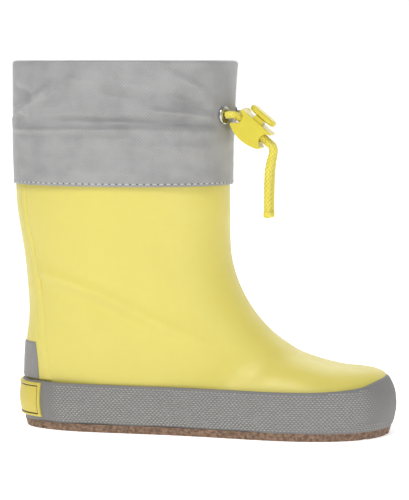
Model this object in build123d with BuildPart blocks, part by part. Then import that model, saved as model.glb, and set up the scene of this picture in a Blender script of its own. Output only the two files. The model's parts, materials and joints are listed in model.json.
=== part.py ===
from build123d import *
from math import atan2, cos, degrees, hypot, pi, sin, tan, radians
import os

# Child's deck boot, right foot, millimetres.  +X points to the toe, +Z up, -Y is the outer side.
# The origin is on the ground, under the middle of the boot's box.

# ---------------------------------------------------------------- driving dimensions
OUTSOLE_H = 4.0                # gum-rubber outsole, ground to foxing
GROOVE_DEPTH = 1.3             # zigzag siping cut into the outsole
GROOVE_W = 1.3
GROOVE_PITCH = 8.5
MIDSOLE_TOP = 8.0              # filler under the shell's floor
SHELL_T = 2.0                  # moulded rubber of the upper
SHELL_FLOOR = 1.5
STIFFENER_T = 0.9              # toe puff and heel counter, between shell and lining
LINING_T = 3.2
BOARD_T = 2.0                  # insole board
LINING_FLOOR = 0.8
FOOTBED_T = 4.2
COVER_T = 0.8                  # textile cover laminated on the footbed
SHELL_TOP = 132.0              # rubber ends here, inside the cuff's hem
FOXING_TOP = 24.2              # foxing height along the sides
BACKSTAY_PROUD = 0.3
BACKSTAY_HALF = 23.0
STRIP_T = 1.2                  # reflective strip over the backstay
STRIP_HALF = 20.0
LABEL_T = 0.7                  # heel label over the foxing
LABEL_BORDER = 1.3
LABEL_BORDER_T = 0.45
LABEL_FRONT = -77.0            # where the label's side edges stand
LABEL_Z = (6.0, 23.4)
TREAD_WAVE = 1.6               # half the sideways swing of each zigzag groove
TREAD_STEP = 6.0

CUFF_BOTTOM = 122.5
CUFF_TOP = 184.0
CUFF_T = 0.7                   # woven nylon, one layer
CUFF_GAP = 5.5                 # room between the two layers, where the drawcord runs
HEM_FLAP_Z = 176.0             # the outer layer folds over the rim and ends here inside

CORD_D = 3.8
CORD_R = CORD_D / 2
TIP_LEN = 3.0
CORD_Z = 157.0                 # height of the drawcord and of both eyelets
EYELET_Y = 13.0                # eyelets stand this far each side of the front centre line
EYELET_OUTER_R = 4.4
EYELET_HOLE_R = 2.5
EYELET_BARREL_R = 2.8
EYELET_FLANGE_T = 0.9
EYELET_BARREL_LEN = 1.75
EYELET_ROUND = 0.7
EYELET_FIT = 0.05
EYELET_HOLE_DEPTH = 2.0         # the nylon is cut this far each side of its face
WASHER_T = 0.4
WASHER_R = 4.0
WASHER_DEPTH = 1.25            # washer's face below the cuff's outer surface
LOOP_INSET = 3.7               # the drawcord's line below the cuff's outer surface
LOOP_RECESS = 1.5              # the loop's ends stay this far below the eyelets' mouths
LEAD_CLEAR = 0.35              # the strands start this far outside the eyelets

LOCK_CENTRE = (27.4, -9.0, 150.4)
LOCK_SLOPE = 40.4              # the lock's long axis points this many degrees below level
LOCK_HALF_LEN = 9.5
LOCK_TOP = 4.7                 # straight side, where the plunger comes out
LOCK_END_LOW = -5.0
LOCK_BELLY = -7.4
LOCK_THICK = 13.0
LOCK_TIP_ROUND = 0.4
LOCK_EDGE_ROUND = 0.35
NOTCH_R = 3.7
NOTCH_CENTRE = 9.9
CHANNEL_HALF = 2.5
STRAND_GAP = 3.9               # centre to centre, side by side through the lock
PLUNGER_HALF_LEN = 2.6
PLUNGER_WIDTH = 10.0
PLUNGER_SLOT = (-2.1, 4.1)
PLUNGER_FOOT = -3.4
HEAD_LOW = 6.9
HEAD_T = 2.9
HEAD_LEN = 15.2
HEAD_WIDTH = 9.2
HEAD_ROUND = 1.2
CAVITY_FLOOR = -6.5
SLIDE_FIT = 0.15
SPRING_WIRE = 0.4
SPRING_R = 1.5
SPRING_TURNS = 2.0
TAIL_PIVOT = 11.0              # along the lock's axis from its centre
JOINT_GAP = 0.45
CHANNEL_TRIM = 0.6             # the channel is narrower than two full bores by this much
PLUNGER_SLOT_FIT = 0.3
ROUND_FIT = 0.1                # keeps a rounded end short of a full half circle
SPRING_FIT = 0.15

# Level sections of the shaft and heel: height, back x, front x, half width, fullness.
SHAFT_ROWS = [
    (150.0, -96.9, 14.5, 37.6, 2.15),
    (132.0, -96.0, 14.5, 37.3, 2.15),
    (114.0, -94.6, 14.6, 36.8, 2.15),
    (97.0, -92.2, 14.8, 36.0, 2.15),
    (85.0, -90.4, 15.8, 35.0, 2.15),
    (75.0, -89.4, 18.3, 34.0, 2.2),
    (65.0, -88.7, 22.8, 32.8, 2.25),
    (55.0, -88.4, 29.5, 31.6, 2.35),
    (47.0, -88.9, 37.2, 30.6, 2.45),
    (41.5, -89.5, 45.5, 30.0, 2.5),
    (36.0, -90.0, 52.0, 28.8, 2.55),
    (30.0, -90.3, 55.0, 28.0, 2.6),
    (24.0, -90.5, 56.0, 27.5, 2.6),
    (18.0, -90.5, 56.0, 27.2, 2.6),
    (12.0, -90.3, 56.0, 27.0, 2.6),
    (6.0, -90.0, 56.0, 27.0, 2.6),
]
# Upright sections of the foot: x, top height, half width, sideways shift.
FOOT_ROWS = [
    (-15.0, 31.0, 27.0, -0.7),
    (8.0, 34.3, 28.8, -0.9),
    (28.0, 37.7, 31.9, -1.2),
    (44.0, 39.5, 33.4, -1.3),
    (56.0, 36.9, 33.2, -1.3),
    (66.0, 34.3, 31.5, -1.0),
    (74.0, 33.3, 28.9, -0.5),
    (81.0, 32.8, 25.3, 0.2),
    (86.5, 31.9, 21.2, 1.0),
    (90.5, 30.3, 16.8, 1.7),
    (93.0, 28.4, 12.4, 2.1),
    (94.4, 26.0, 8.0, 2.3),
]
FOOT_MIDDLE_Z = 16.0
FOOT_FULLNESS = 2.5
TOE_X = FOOT_ROWS[-1][0]

# Cuff rings: height, back x, front x, half width.
CUFF_ROWS = [
    (CUFF_BOTTOM, -96.9, 15.5, 38.3),
    (140.0, -97.5, 15.9, 38.6),
    (160.0, -97.7, 16.4, 38.7),
    (CUFF_TOP, -97.5, 18.1, 38.6),
]
CUFF_FULLNESS = 2.2

# Foot outline at the foxing's widest height, heel, outer side, toe, inner side.
FOOT_OUTLINE = [
    (-93.2, 0.0), (-88.2, -16.2), (-71.0, -27.0), (-42.0, -30.3), (-10.0, -31.2), (20.0, -34.5),
    (46.0, -37.5), (69.0, -35.0), (87.0, -25.0), (96.0, -9.0), (97.7, 4.0), (92.5, 19.0),
    (76.0, 31.0), (48.0, 35.0), (16.0, 32.4), (-15.0, 30.2), (-45.0, 29.6), (-72.0, 26.6),
    (-88.2, 16.0),
]
OUTLINE_CENTRE = (2.2, -1.2)
OUTLINE_HALF = (95.5, 36.5)
# Height and inset of the foxing's rounded face.
FOXING_FACE = [(OUTSOLE_H, 2.4), (8.5, 0.8), (14.0, 0.0), (19.0, 0.3), (25.0, 1.3), (33.0, 3.4)]
FOXING_EDGE = [
    (-110, FOXING_TOP), (-70, FOXING_TOP), (-30, 24.1), (10, 24.1), (45, 24.1), (66, 24.4),
    (80, 25.2), (90, 26.6), (97, 29.4), (104, 33),
]
FILLER_INSET = 7.0
TREAD_INSET = (3.6, 2.4)       # outsole outline at the ground and at the foxing


RING_POINTS = 16
RING_KNOTS = [k / RING_POINTS for k in range(RING_POINTS + 1)]


def ring(half_x, half_y, power, shift_x=0.0, shift_y=0.0):
    """Points of a superellipse, the cross-section of every tube in this boot, from its +y side."""
    points = []
    for k in range(RING_POINTS):
        c = cos(2 * pi * k / RING_POINTS + pi / 2)
        s = sin(2 * pi * k / RING_POINTS + pi / 2)
        x = half_x * abs(c) ** (2 / power) * (1 if c > 0 else -1)
        y = half_y * abs(s) ** (2 / power) * (1 if s > 0 else -1)
        points.append((shift_x + x, shift_y + y))
    return points


def closed_curve(points, knots):
    """Smooth closed curve for a sketch; rings lofted together share the same knots."""
    return add(Edge.make_spline([Vector(x, y, 0) for x, y in points], periodic=True, parameters=knots))


def level_ring(height, back, front, half, fullness):
    """Sketch of one level superellipse ring."""
    with BuildSketch(Plane.XY.offset(height)) as section:
        with BuildLine():
            closed_curve(ring((front - back) / 2, half, fullness, (front + back) / 2), RING_KNOTS)
        make_face()
    return section.sketch


def last_volume(inset, floor):
    """Solid of the boot's last, shaft and foot, drawn in by inset, between floor and SHELL_TOP."""
    with BuildPart() as volume:
        shaft = []
        for height, back, front, half, fullness in SHAFT_ROWS:
            shaft.append(level_ring(height, back + inset, front - inset, half - inset, fullness))
        loft(shaft)
        foot = []
        for x, top, half, shift in FOOT_ROWS:
            drawn_in = Plane(origin=(x - inset * x / TOE_X, 0, FOOT_MIDDLE_Z), x_dir=(0, 0, 1), z_dir=(1, 0, 0))
            with BuildSketch(drawn_in) as section:
                with BuildLine():
                    tall = top - inset - FOOT_MIDDLE_Z
                    closed_curve(ring(tall, half - inset, FOOT_FULLNESS, 0, -shift), RING_KNOTS)
                make_face()
            foot.append(section.sketch)
        loft(foot)
        split(bisect_by=Plane.XY.offset(floor), keep=Keep.TOP)
        split(bisect_by=Plane.XY.offset(SHELL_TOP), keep=Keep.BOTTOM)
    return volume.part


def cuff_volume(inset, low, high):
    """Solid inside the cuff's ring, drawn in by inset, between two heights."""
    with BuildPart() as volume:
        rings = []
        for height, back, front, half in CUFF_ROWS:
            rings.append(level_ring(height, back + inset, front - inset, half - inset, CUFF_FULLNESS))
        loft(rings)
        split(bisect_by=Plane.XY.offset(low), keep=Keep.TOP)
        split(bisect_by=Plane.XY.offset(high), keep=Keep.BOTTOM)
    return volume.part


def outline_points(inset):
    """The foot outline drawn in by inset."""
    centre_x, centre_y = OUTLINE_CENTRE
    grow_x = 1 - inset / OUTLINE_HALF[0]
    grow_y = 1 - inset / OUTLINE_HALF[1]
    drawn_in = []
    for x, y in FOOT_OUTLINE:
        drawn_in.append((centre_x + (x - centre_x) * grow_x, centre_y + (y - centre_y) * grow_y))
    return drawn_in


def outline_knots():
    """Knots of the foot outline, in step with the distance round it."""
    distances = [0.0]
    for here, there in zip(FOOT_OUTLINE, FOOT_OUTLINE[1:] + FOOT_OUTLINE[:1]):
        distances.append(distances[-1] + hypot(there[0] - here[0], there[1] - here[1]))
    return [distance / distances[-1] for distance in distances]


def outline_loft(face):
    """Solid through the foot outline at each (height, inset) of face."""
    with BuildPart() as volume:
        for height, inset in face:
            with BuildSketch(Plane.XY.offset(height)):
                with BuildLine():
                    closed_curve(outline_points(inset), outline_knots())
                make_face()
        loft(ruled=len(face) == 2)
    return volume.part


def slab(x_range, y_range, z_range):
    """A box given by its limits."""
    size = [high - low for low, high in (x_range, y_range, z_range)]
    middle = [(high + low) / 2 for low, high in (x_range, y_range, z_range)]
    with BuildPart(Plane(origin=middle)) as block:
        Box(*size)
    return block.part


def finish(name, builder):
    """Label a sub-part and write its STEP file."""
    builder.part.label = name
    export_step(builder.part, f"parts/{name}.step")


os.makedirs("parts", exist_ok=True)

# ---------------------------------------------------------------- sole unit
with BuildPart() as outsole:
    add(outline_loft([(0.0, TREAD_INSET[0]), (OUTSOLE_H, TREAD_INSET[1])]))
    with BuildSketch(Plane.XY.offset(0)) as grooves:
        for row in range(-11, 12):
            start = row * GROOVE_PITCH
            zigzag = []
            for k in range(-8, 9):
                zigzag.append((start + (TREAD_WAVE if k % 2 else -TREAD_WAVE), TREAD_STEP * k))
            with BuildLine(mode=Mode.PRIVATE) as wave:
                Polyline(*zigzag)
            trace(wave.line, line_width=GROOVE_W)
    extrude(amount=GROOVE_DEPTH, mode=Mode.SUBTRACT)
finish("outsole", outsole)

with BuildPart() as midsole_filler:
    add(outline_loft([(OUTSOLE_H, FILLER_INSET), (MIDSOLE_TOP, FILLER_INSET)]))
finish("midsole_filler", midsole_filler)

# ---------------------------------------------------------------- volumes nested in each other
shell_outer = last_volume(0.0, MIDSOLE_TOP)
board_floor = MIDSOLE_TOP + SHELL_FLOOR
shell_inner = last_volume(SHELL_T, board_floor)
stiffener_inner = last_volume(SHELL_T + STIFFENER_T, board_floor + BOARD_T)
sock_floor = board_floor + BOARD_T + LINING_FLOOR
lining_inner = last_volume(SHELL_T + LINING_T, sock_floor)
footbed_volume = last_volume(SHELL_T + LINING_T + 0.3, sock_floor)
backstay_outer = last_volume(-BACKSTAY_PROUD, MIDSOLE_TOP)
backstay_inner = last_volume(SHELL_T * 0.4, MIDSOLE_TOP)
strip_outer = last_volume(-BACKSTAY_PROUD - STRIP_T, MIDSOLE_TOP)

with BuildPart() as foxing_band:
    add(outline_loft(FOXING_FACE))
    with BuildSketch(Plane.XZ) as above_edge:
        with BuildLine():
            edge = Spline(*FOXING_EDGE)
            Polyline(edge @ 1, (104, 60), (-110, 60), edge @ 0)
        make_face()
    extrude(amount=60, both=True, mode=Mode.SUBTRACT)
    add(shell_outer, mode=Mode.SUBTRACT)
    add(midsole_filler.part, mode=Mode.SUBTRACT)
finish("foxing_band", foxing_band)

# ---------------------------------------------------------------- upper
with BuildPart() as backstay:
    add(backstay_outer)
    add(backstay_inner, mode=Mode.SUBTRACT)
    add(slab((-120, -45), (-BACKSTAY_HALF, BACKSTAY_HALF), (FOXING_TOP, SHELL_TOP)), mode=Mode.INTERSECT)
finish("backstay", backstay)

with BuildPart() as upper_shell:
    add(shell_outer)
    add(shell_inner, mode=Mode.SUBTRACT)
    add(backstay.part, mode=Mode.SUBTRACT)
finish("upper_shell", upper_shell)

with BuildPart() as toe_puff:
    add(shell_inner)
    add(stiffener_inner, mode=Mode.SUBTRACT)
    add(slab((58, 120), (-60, 60), (board_floor + BOARD_T, 60)), mode=Mode.INTERSECT)
finish("toe_puff", toe_puff)

with BuildPart() as heel_counter:
    add(shell_inner)
    add(stiffener_inner, mode=Mode.SUBTRACT)
    add(slab((-120, -50), (-60, 60), (board_floor + BOARD_T, 52)), mode=Mode.INTERSECT)
finish("heel_counter", heel_counter)

with BuildPart() as insole_board:
    add(shell_inner)
    add(slab((-120, 120), (-60, 60), (board_floor, board_floor + BOARD_T)), mode=Mode.INTERSECT)
finish("insole_board", insole_board)

with BuildPart() as lining:
    add(shell_inner)
    add(slab((-120, 120), (-60, 60), (board_floor + BOARD_T, SHELL_TOP)), mode=Mode.INTERSECT)
    add(lining_inner, mode=Mode.SUBTRACT)
    add(toe_puff.part, mode=Mode.SUBTRACT)
    add(heel_counter.part, mode=Mode.SUBTRACT)
finish("lining", lining)

with BuildPart() as footbed:
    add(footbed_volume)
    add(slab((-120, 120), (-60, 60), (sock_floor, sock_floor + FOOTBED_T)), mode=Mode.INTERSECT)
finish("footbed", footbed)

with BuildPart() as footbed_cover:
    add(footbed_volume)
    cover_low = sock_floor + FOOTBED_T
    add(slab((-120, 120), (-60, 60), (cover_low, cover_low + COVER_T)), mode=Mode.INTERSECT)
finish("footbed_cover", footbed_cover)

# ---------------------------------------------------------------- trim on the heel
with BuildPart() as heel_strip:
    add(strip_outer)
    add(backstay_outer, mode=Mode.SUBTRACT)
    add(slab((-120, -45), (-STRIP_HALF, STRIP_HALF), (FOXING_TOP + 0.4, 43.5)), mode=Mode.INTERSECT)
finish("heel_strip", heel_strip)

label_face = [(height, inset - LABEL_T) for height, inset in FOXING_FACE]
border_face = [(height, inset - LABEL_T - LABEL_BORDER_T) for height, inset in FOXING_FACE]
with BuildPart() as heel_label:
    add(outline_loft(border_face))
    field_front = LABEL_FRONT - LABEL_BORDER
    field_z = (LABEL_Z[0] + LABEL_BORDER, LABEL_Z[1] - LABEL_BORDER)
    with BuildPart(mode=Mode.PRIVATE) as recess:
        add(outline_loft(border_face))
        add(outline_loft(label_face), mode=Mode.SUBTRACT)
        add(slab((-120, field_front), (-60, 60), field_z), mode=Mode.INTERSECT)
    add(recess.part, mode=Mode.SUBTRACT)
    add(outline_loft(FOXING_FACE), mode=Mode.SUBTRACT)
    add(slab((-120, LABEL_FRONT), (-60, 60), LABEL_Z), mode=Mode.INTERSECT)
finish("heel_label", heel_label)

# ---------------------------------------------------------------- cuff
cuff_middle = (CUFF_ROWS[2][1] + CUFF_ROWS[2][2]) / 2
cuff_half_x = (CUFF_ROWS[2][2] - CUFF_ROWS[2][1]) / 2
cuff_half_y = CUFF_ROWS[2][3]
eyelet_ratio = EYELET_Y / cuff_half_y
eyelet_x = cuff_middle + cuff_half_x * (1 - eyelet_ratio**CUFF_FULLNESS) ** (1 / CUFF_FULLNESS)
slope_x = ((eyelet_x - cuff_middle) / cuff_half_x) ** (CUFF_FULLNESS - 1) / cuff_half_x
slope_y = eyelet_ratio ** (CUFF_FULLNESS - 1) / cuff_half_y
eyelet_turn = degrees(atan2(slope_y, slope_x))
print(f"eyelet x {eyelet_x:.2f}, turned {eyelet_turn:.1f} degrees")


def eyelet_plane(side):
    """Plane on the cuff's outer face at an eyelet, z_dir outwards; side is -1 outer, 1 inner."""
    turn = radians(eyelet_turn)
    outward = Vector(cos(turn), side * sin(turn), 0)
    return Plane(origin=(eyelet_x, side * EYELET_Y, CORD_Z), x_dir=(0, 0, 1), z_dir=outward)


with BuildPart() as cuff_outer:
    add(cuff_volume(0.0, CUFF_BOTTOM, CUFF_TOP))
    add(cuff_volume(CUFF_T, CUFF_BOTTOM, CUFF_TOP - CUFF_T), mode=Mode.SUBTRACT)
    add(cuff_volume(2 * CUFF_T + CUFF_GAP, CUFF_BOTTOM, CUFF_TOP), mode=Mode.SUBTRACT)
    with BuildPart(mode=Mode.PRIVATE) as flap:
        add(cuff_volume(CUFF_T + CUFF_GAP, HEM_FLAP_Z, CUFF_TOP - CUFF_T))
        add(cuff_volume(2 * CUFF_T + CUFF_GAP, CUFF_BOTTOM, CUFF_TOP), mode=Mode.SUBTRACT)
    add(flap.part)
    for side in (-1, 1):
        with BuildSketch(eyelet_plane(side).offset(-EYELET_HOLE_DEPTH)):
            Circle(EYELET_BARREL_R + EYELET_FIT)
        extrude(amount=2 * EYELET_HOLE_DEPTH, mode=Mode.SUBTRACT)
finish("cuff_outer", cuff_outer)

with BuildPart() as cuff_inner:
    add(cuff_volume(CUFF_T + CUFF_GAP, SHELL_TOP, HEM_FLAP_Z))
    add(cuff_volume(2 * CUFF_T + CUFF_GAP, CUFF_BOTTOM, CUFF_TOP), mode=Mode.SUBTRACT)
finish("cuff_inner", cuff_inner)

for side, word in ((-1, "outer"), (1, "inner")):
    with BuildPart() as eyelet:
        with BuildSketch(eyelet_plane(side)):
            Circle(EYELET_OUTER_R)
        extrude(amount=EYELET_FLANGE_T)
        outward = Axis(eyelet_plane(side).origin, eyelet_plane(side).z_dir)
        fillet(eyelet.faces().sort_by(outward)[-1].edges(), EYELET_ROUND)
        with BuildSketch(eyelet_plane(side).offset(-EYELET_BARREL_LEN)):
            Circle(EYELET_BARREL_R)
        extrude(amount=EYELET_BARREL_LEN)
        with BuildSketch(eyelet_plane(side).offset(-EYELET_BARREL_LEN)):
            Circle(EYELET_HOLE_R)
        extrude(amount=EYELET_BARREL_LEN + EYELET_FLANGE_T, mode=Mode.SUBTRACT)
        add(cuff_outer.part, mode=Mode.SUBTRACT)
    finish(f"eyelet_{word}_side", eyelet)
    with BuildPart() as washer:
        with BuildSketch(eyelet_plane(side).offset(-WASHER_DEPTH - WASHER_T)):
            Circle(WASHER_R)
            Circle(EYELET_BARREL_R + EYELET_FIT, mode=Mode.SUBTRACT)
        extrude(amount=WASHER_T)
        add(cuff_outer.part, mode=Mode.SUBTRACT)
    finish(f"eyelet_washer_{word}_side", washer)


# ---------------------------------------------------------------- drawcord
def cord_radii(points):
    """Fillet radius at each inner point: 0.45 of the shorter run over the tangent of half the turn."""
    radii = []
    for before, here, after in zip(points, points[1:], points[2:]):
        run_in = Vector(*here) - Vector(*before)
        run_out = Vector(*after) - Vector(*here)
        turn = radians(run_in.get_angle(run_out))
        radii.append(0.45 * min(run_in.length, run_out.length) / tan(turn / 2))
    return radii


def cord_tube(name, points):
    """A plain round tube along straight runs and tangent arcs."""
    radii = cord_radii(points)
    with BuildPart() as tube:
        with BuildLine() as route:
            FilletPolyline(*points, radius=radii)
        start = route.wire() @ 0
        with BuildSketch(Plane(origin=start, z_dir=route.wire() % 0)):
            Circle(CORD_R)
        sweep()
    ratio = tube.part.volume / (pi * CORD_R**2 * route.wire().length)
    listed = ", ".join(f"{radius:.1f}" for radius in radii)
    print(f"{name}: length {route.wire().length:.1f}, radii {listed}, volume ratio {ratio:.4f}")
    return tube


slope = radians(LOCK_SLOPE)
LOCK_AXIS = Vector(cos(slope), 0, -sin(slope))
PRESS_AXIS = Vector(sin(slope), 0, cos(slope))


def on_lock(along, up=0.0, side=0.0):
    """A point given along the lock's axis, up its plunger and sideways from its centre."""
    point = Vector(*LOCK_CENTRE) + LOCK_AXIS * along + PRESS_AXIS * up + Vector(0, side, 0)
    return (point.X, point.Y, point.Z)


outer_mouth = eyelet_plane(-1).offset(EYELET_FLANGE_T + LEAD_CLEAR).origin
inner_mouth = eyelet_plane(1).offset(EYELET_FLANGE_T + LEAD_CLEAR).origin

LEAD_OUTER = [
    (outer_mouth.X, outer_mouth.Y, outer_mouth.Z),
    (17.6, -13.9, 157.6),
    (20.2, -11.9, 156.8),
    on_lock(-5.0, 0, -STRAND_GAP / 2),
    on_lock(TAIL_PIVOT - JOINT_GAP, 0, -STRAND_GAP / 2),
]
LEAD_INNER = [
    (inner_mouth.X, inner_mouth.Y, inner_mouth.Z),
    (19.3, 13.6, 157.6),
    (22.4, 6.6, 158.8),
    (20.6, -1.6, 158.0),
    on_lock(-8.0, 0, STRAND_GAP / 2),
    on_lock(TAIL_PIVOT - JOINT_GAP, 0, STRAND_GAP / 2),
]
TAIL_OUT = 1.9                 # straight out of the lock before the strands turn down
# Forwards and down from the strand's start, then the share of the spread that has been reached.
TAIL_HANG = [(1.9, -3.9, 0.0), (0.1, -11.0, 1.0), (-0.4, -21.0, 1.0), (-0.45, -33.4, 1.0)]
TAIL_SPREAD = (0.45, 0.15)     # each strand swings forwards and sideways by this much
TIP_PROUD = 0.1
TIP_ROUND = 1.3


def tail_points(side):
    """A tail strand: out of the lock along its axis, then hanging."""
    start = Vector(*on_lock(TAIL_PIVOT + JOINT_GAP, 0, side * STRAND_GAP / 2))
    out = start + LOCK_AXIS * TAIL_OUT
    spread = Vector(side * TAIL_SPREAD[0], side * TAIL_SPREAD[1], 0)
    hang = [start + spread * share + Vector(x, 0, z) for x, z, share in TAIL_HANG]
    return [(point.X, point.Y, point.Z) for point in (start, out, *hang)]


cord_routes = {
    "cord_lead_outer_side": LEAD_OUTER,
    "cord_lead_inner_side": LEAD_INNER,
    "cord_tail_outer_side": tail_points(-1),
    "cord_tail_inner_side": tail_points(1),
}
for name, points in cord_routes.items():
    finish(name, cord_tube(name, points))

for side, word in ((-1, "outer"), (1, "inner")):
    last_two = [Vector(*point) for point in tail_points(side)[-2:]]
    down = (last_two[1] - last_two[0]).normalized()
    with BuildPart() as tip:
        with BuildSketch(Plane(origin=last_two[1], z_dir=down)):
            Circle(CORD_R + TIP_PROUD)
        extrude(amount=TIP_LEN)
        fillet(tip.faces().sort_by(Axis(last_two[1], down))[-1].edges(), TIP_ROUND)
    finish(f"cord_tip_{word}_side", tip)

# The rest of the drawcord runs round the cuff between its two layers, then out through each eyelet.
loop_points = []
for degrees_round in (24, 42, 60, 78, 102, 120, 138, 156, 172):
    angle = radians(degrees_round)
    reach_x = (cuff_half_x - LOOP_INSET) * abs(cos(angle)) ** (2 / CUFF_FULLNESS)
    reach_y = (cuff_half_y - LOOP_INSET) * abs(sin(angle)) ** (2 / CUFF_FULLNESS)
    loop_points.append((cuff_middle + reach_x * (1 if cos(angle) > 0 else -1), reach_y, CORD_Z))
loop_points += [(x, -y, z) for x, y, z in reversed(loop_points)]
loop_ends = []
for side in (1, -1):
    behind = eyelet_plane(side).offset(-LOOP_INSET).origin
    loop_ends.append((behind.X, behind.Y, behind.Z))
LOOP = [loop_ends[0], *loop_points, loop_ends[1]]
with BuildPart() as drawcord_loop:
    add(cord_tube("drawcord_loop", LOOP).part)
    for side, loop_end in zip((1, -1), loop_ends):
        with BuildSketch(eyelet_plane(side).offset(-LOOP_INSET)):
            Circle(CORD_R)
        extrude(amount=LOOP_INSET + EYELET_FLANGE_T - LOOP_RECESS)
        with Locations(loop_end):
            Sphere(CORD_R)
finish("drawcord_loop", drawcord_loop)

# ---------------------------------------------------------------- cord lock
lock_side = Plane(origin=LOCK_CENTRE, x_dir=LOCK_AXIS, z_dir=(0, -1, 0))
lock_top = Plane(origin=LOCK_CENTRE, x_dir=LOCK_AXIS, z_dir=PRESS_AXIS)

with BuildPart() as lock_body:
    with BuildSketch(lock_side):
        with BuildLine():
            top_side = Line((-LOCK_HALF_LEN, LOCK_TOP), (LOCK_HALF_LEN, LOCK_TOP))
            Line(top_side @ 1, (LOCK_HALF_LEN, LOCK_END_LOW))
            ThreePointArc((LOCK_HALF_LEN, LOCK_END_LOW), (0, LOCK_BELLY), (-LOCK_HALF_LEN, LOCK_END_LOW))
            Line((-LOCK_HALF_LEN, LOCK_END_LOW), top_side @ 0)
        make_face()
        with Locations((-NOTCH_CENTRE, 0), (NOTCH_CENTRE, 0)):
            Circle(NOTCH_R, mode=Mode.SUBTRACT)
    extrude(amount=LOCK_THICK / 2, both=True)
    fillet(lock_body.edges().filter_by(Axis.Y), LOCK_TIP_ROUND)
    flanks = lock_body.faces().sort_by(Axis.Y)
    fillet(flanks[0].edges() + flanks[-1].edges(), LOCK_EDGE_ROUND)
    with BuildSketch(Plane(origin=LOCK_CENTRE, x_dir=(0, 1, 0), z_dir=LOCK_AXIS)):
        channel_width = STRAND_GAP + 2 * CHANNEL_HALF - CHANNEL_TRIM
        RectangleRounded(channel_width, 2 * CHANNEL_HALF, CHANNEL_HALF - ROUND_FIT)
    extrude(amount=LOCK_HALF_LEN, both=True, mode=Mode.SUBTRACT)
    with BuildSketch(lock_top.offset(CAVITY_FLOOR)):
        Rectangle(2 * (PLUNGER_HALF_LEN + SLIDE_FIT), PLUNGER_WIDTH + 2 * SLIDE_FIT)
    extrude(amount=LOCK_TOP - CAVITY_FLOOR + 1, mode=Mode.SUBTRACT)
finish("lock_body", lock_body)

with BuildPart() as lock_plunger:
    with BuildSketch(lock_top.offset(HEAD_LOW)):
        RectangleRounded(HEAD_LEN, HEAD_WIDTH, HEAD_WIDTH / 2 - ROUND_FIT)
    extrude(amount=HEAD_T)
    fillet(lock_plunger.faces().group_by(SortBy.AREA)[-1].edges(), HEAD_ROUND)
    with BuildSketch(lock_top.offset(PLUNGER_FOOT)):
        Rectangle(2 * PLUNGER_HALF_LEN, PLUNGER_WIDTH)
    extrude(amount=HEAD_LOW - PLUNGER_FOOT)
    slot_low, slot_high = PLUNGER_SLOT
    slot_centre = on_lock(0, (slot_low + slot_high) / 2)
    with BuildSketch(Plane(origin=slot_centre, x_dir=(0, 1, 0), z_dir=LOCK_AXIS)):
        RectangleRounded(STRAND_GAP + CORD_D + PLUNGER_SLOT_FIT, slot_high - slot_low, CORD_R)
    extrude(amount=PLUNGER_HALF_LEN + 1, both=True, mode=Mode.SUBTRACT)
finish("lock_plunger", lock_plunger)

with BuildPart() as lock_spring:
    spring_base = on_lock(0, CAVITY_FLOOR + SPRING_WIRE / 2 + SPRING_FIT)
    rise = PLUNGER_FOOT - CAVITY_FLOOR - SPRING_WIRE - 2 * SPRING_FIT
    with BuildLine() as coil:
        Helix(rise / SPRING_TURNS, rise, SPRING_R, center=spring_base, direction=PRESS_AXIS)
    with BuildSketch(Plane(origin=coil.wire() @ 0, z_dir=coil.wire() % 0)):
        Circle(SPRING_WIRE / 2)
    sweep(is_frenet=True)
finish("lock_spring", lock_spring)
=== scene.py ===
import json
import logging
import math
from dataclasses import dataclass
from enum import Enum
from typing import Optional, Sequence, Union

import bmesh
import bpy
import numpy as np
from mathutils import Euler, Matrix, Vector, noise
from mathutils.bvhtree import BVHTree

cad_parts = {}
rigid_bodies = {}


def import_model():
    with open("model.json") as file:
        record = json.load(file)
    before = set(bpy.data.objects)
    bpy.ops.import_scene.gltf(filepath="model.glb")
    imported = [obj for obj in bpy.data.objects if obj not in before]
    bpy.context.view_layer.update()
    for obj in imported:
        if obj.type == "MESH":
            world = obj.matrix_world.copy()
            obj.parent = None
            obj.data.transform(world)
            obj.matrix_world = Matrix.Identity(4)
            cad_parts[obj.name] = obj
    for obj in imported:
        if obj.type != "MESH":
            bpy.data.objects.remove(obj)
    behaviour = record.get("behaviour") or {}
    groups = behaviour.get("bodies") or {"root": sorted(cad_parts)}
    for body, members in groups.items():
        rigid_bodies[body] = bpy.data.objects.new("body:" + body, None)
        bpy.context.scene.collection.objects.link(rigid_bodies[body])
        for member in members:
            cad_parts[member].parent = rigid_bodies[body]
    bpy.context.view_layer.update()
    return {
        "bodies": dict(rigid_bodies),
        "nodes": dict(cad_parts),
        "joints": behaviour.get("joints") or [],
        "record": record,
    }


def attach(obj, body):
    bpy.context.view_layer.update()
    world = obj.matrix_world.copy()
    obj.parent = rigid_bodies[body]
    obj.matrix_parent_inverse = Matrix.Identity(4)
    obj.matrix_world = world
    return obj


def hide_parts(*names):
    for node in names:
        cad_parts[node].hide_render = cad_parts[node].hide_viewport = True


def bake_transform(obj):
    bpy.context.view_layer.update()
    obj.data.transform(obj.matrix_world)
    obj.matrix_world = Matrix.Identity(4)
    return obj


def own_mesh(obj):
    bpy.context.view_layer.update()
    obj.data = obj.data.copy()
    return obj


MM = 0.001
LOG = logging.getLogger("deck_boot")
Point = tuple[float, float, float]
Pair = tuple[float, float]
# a place behind the heel, from which rays reach the back of the boot
BEHIND = -120 * MM


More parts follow.
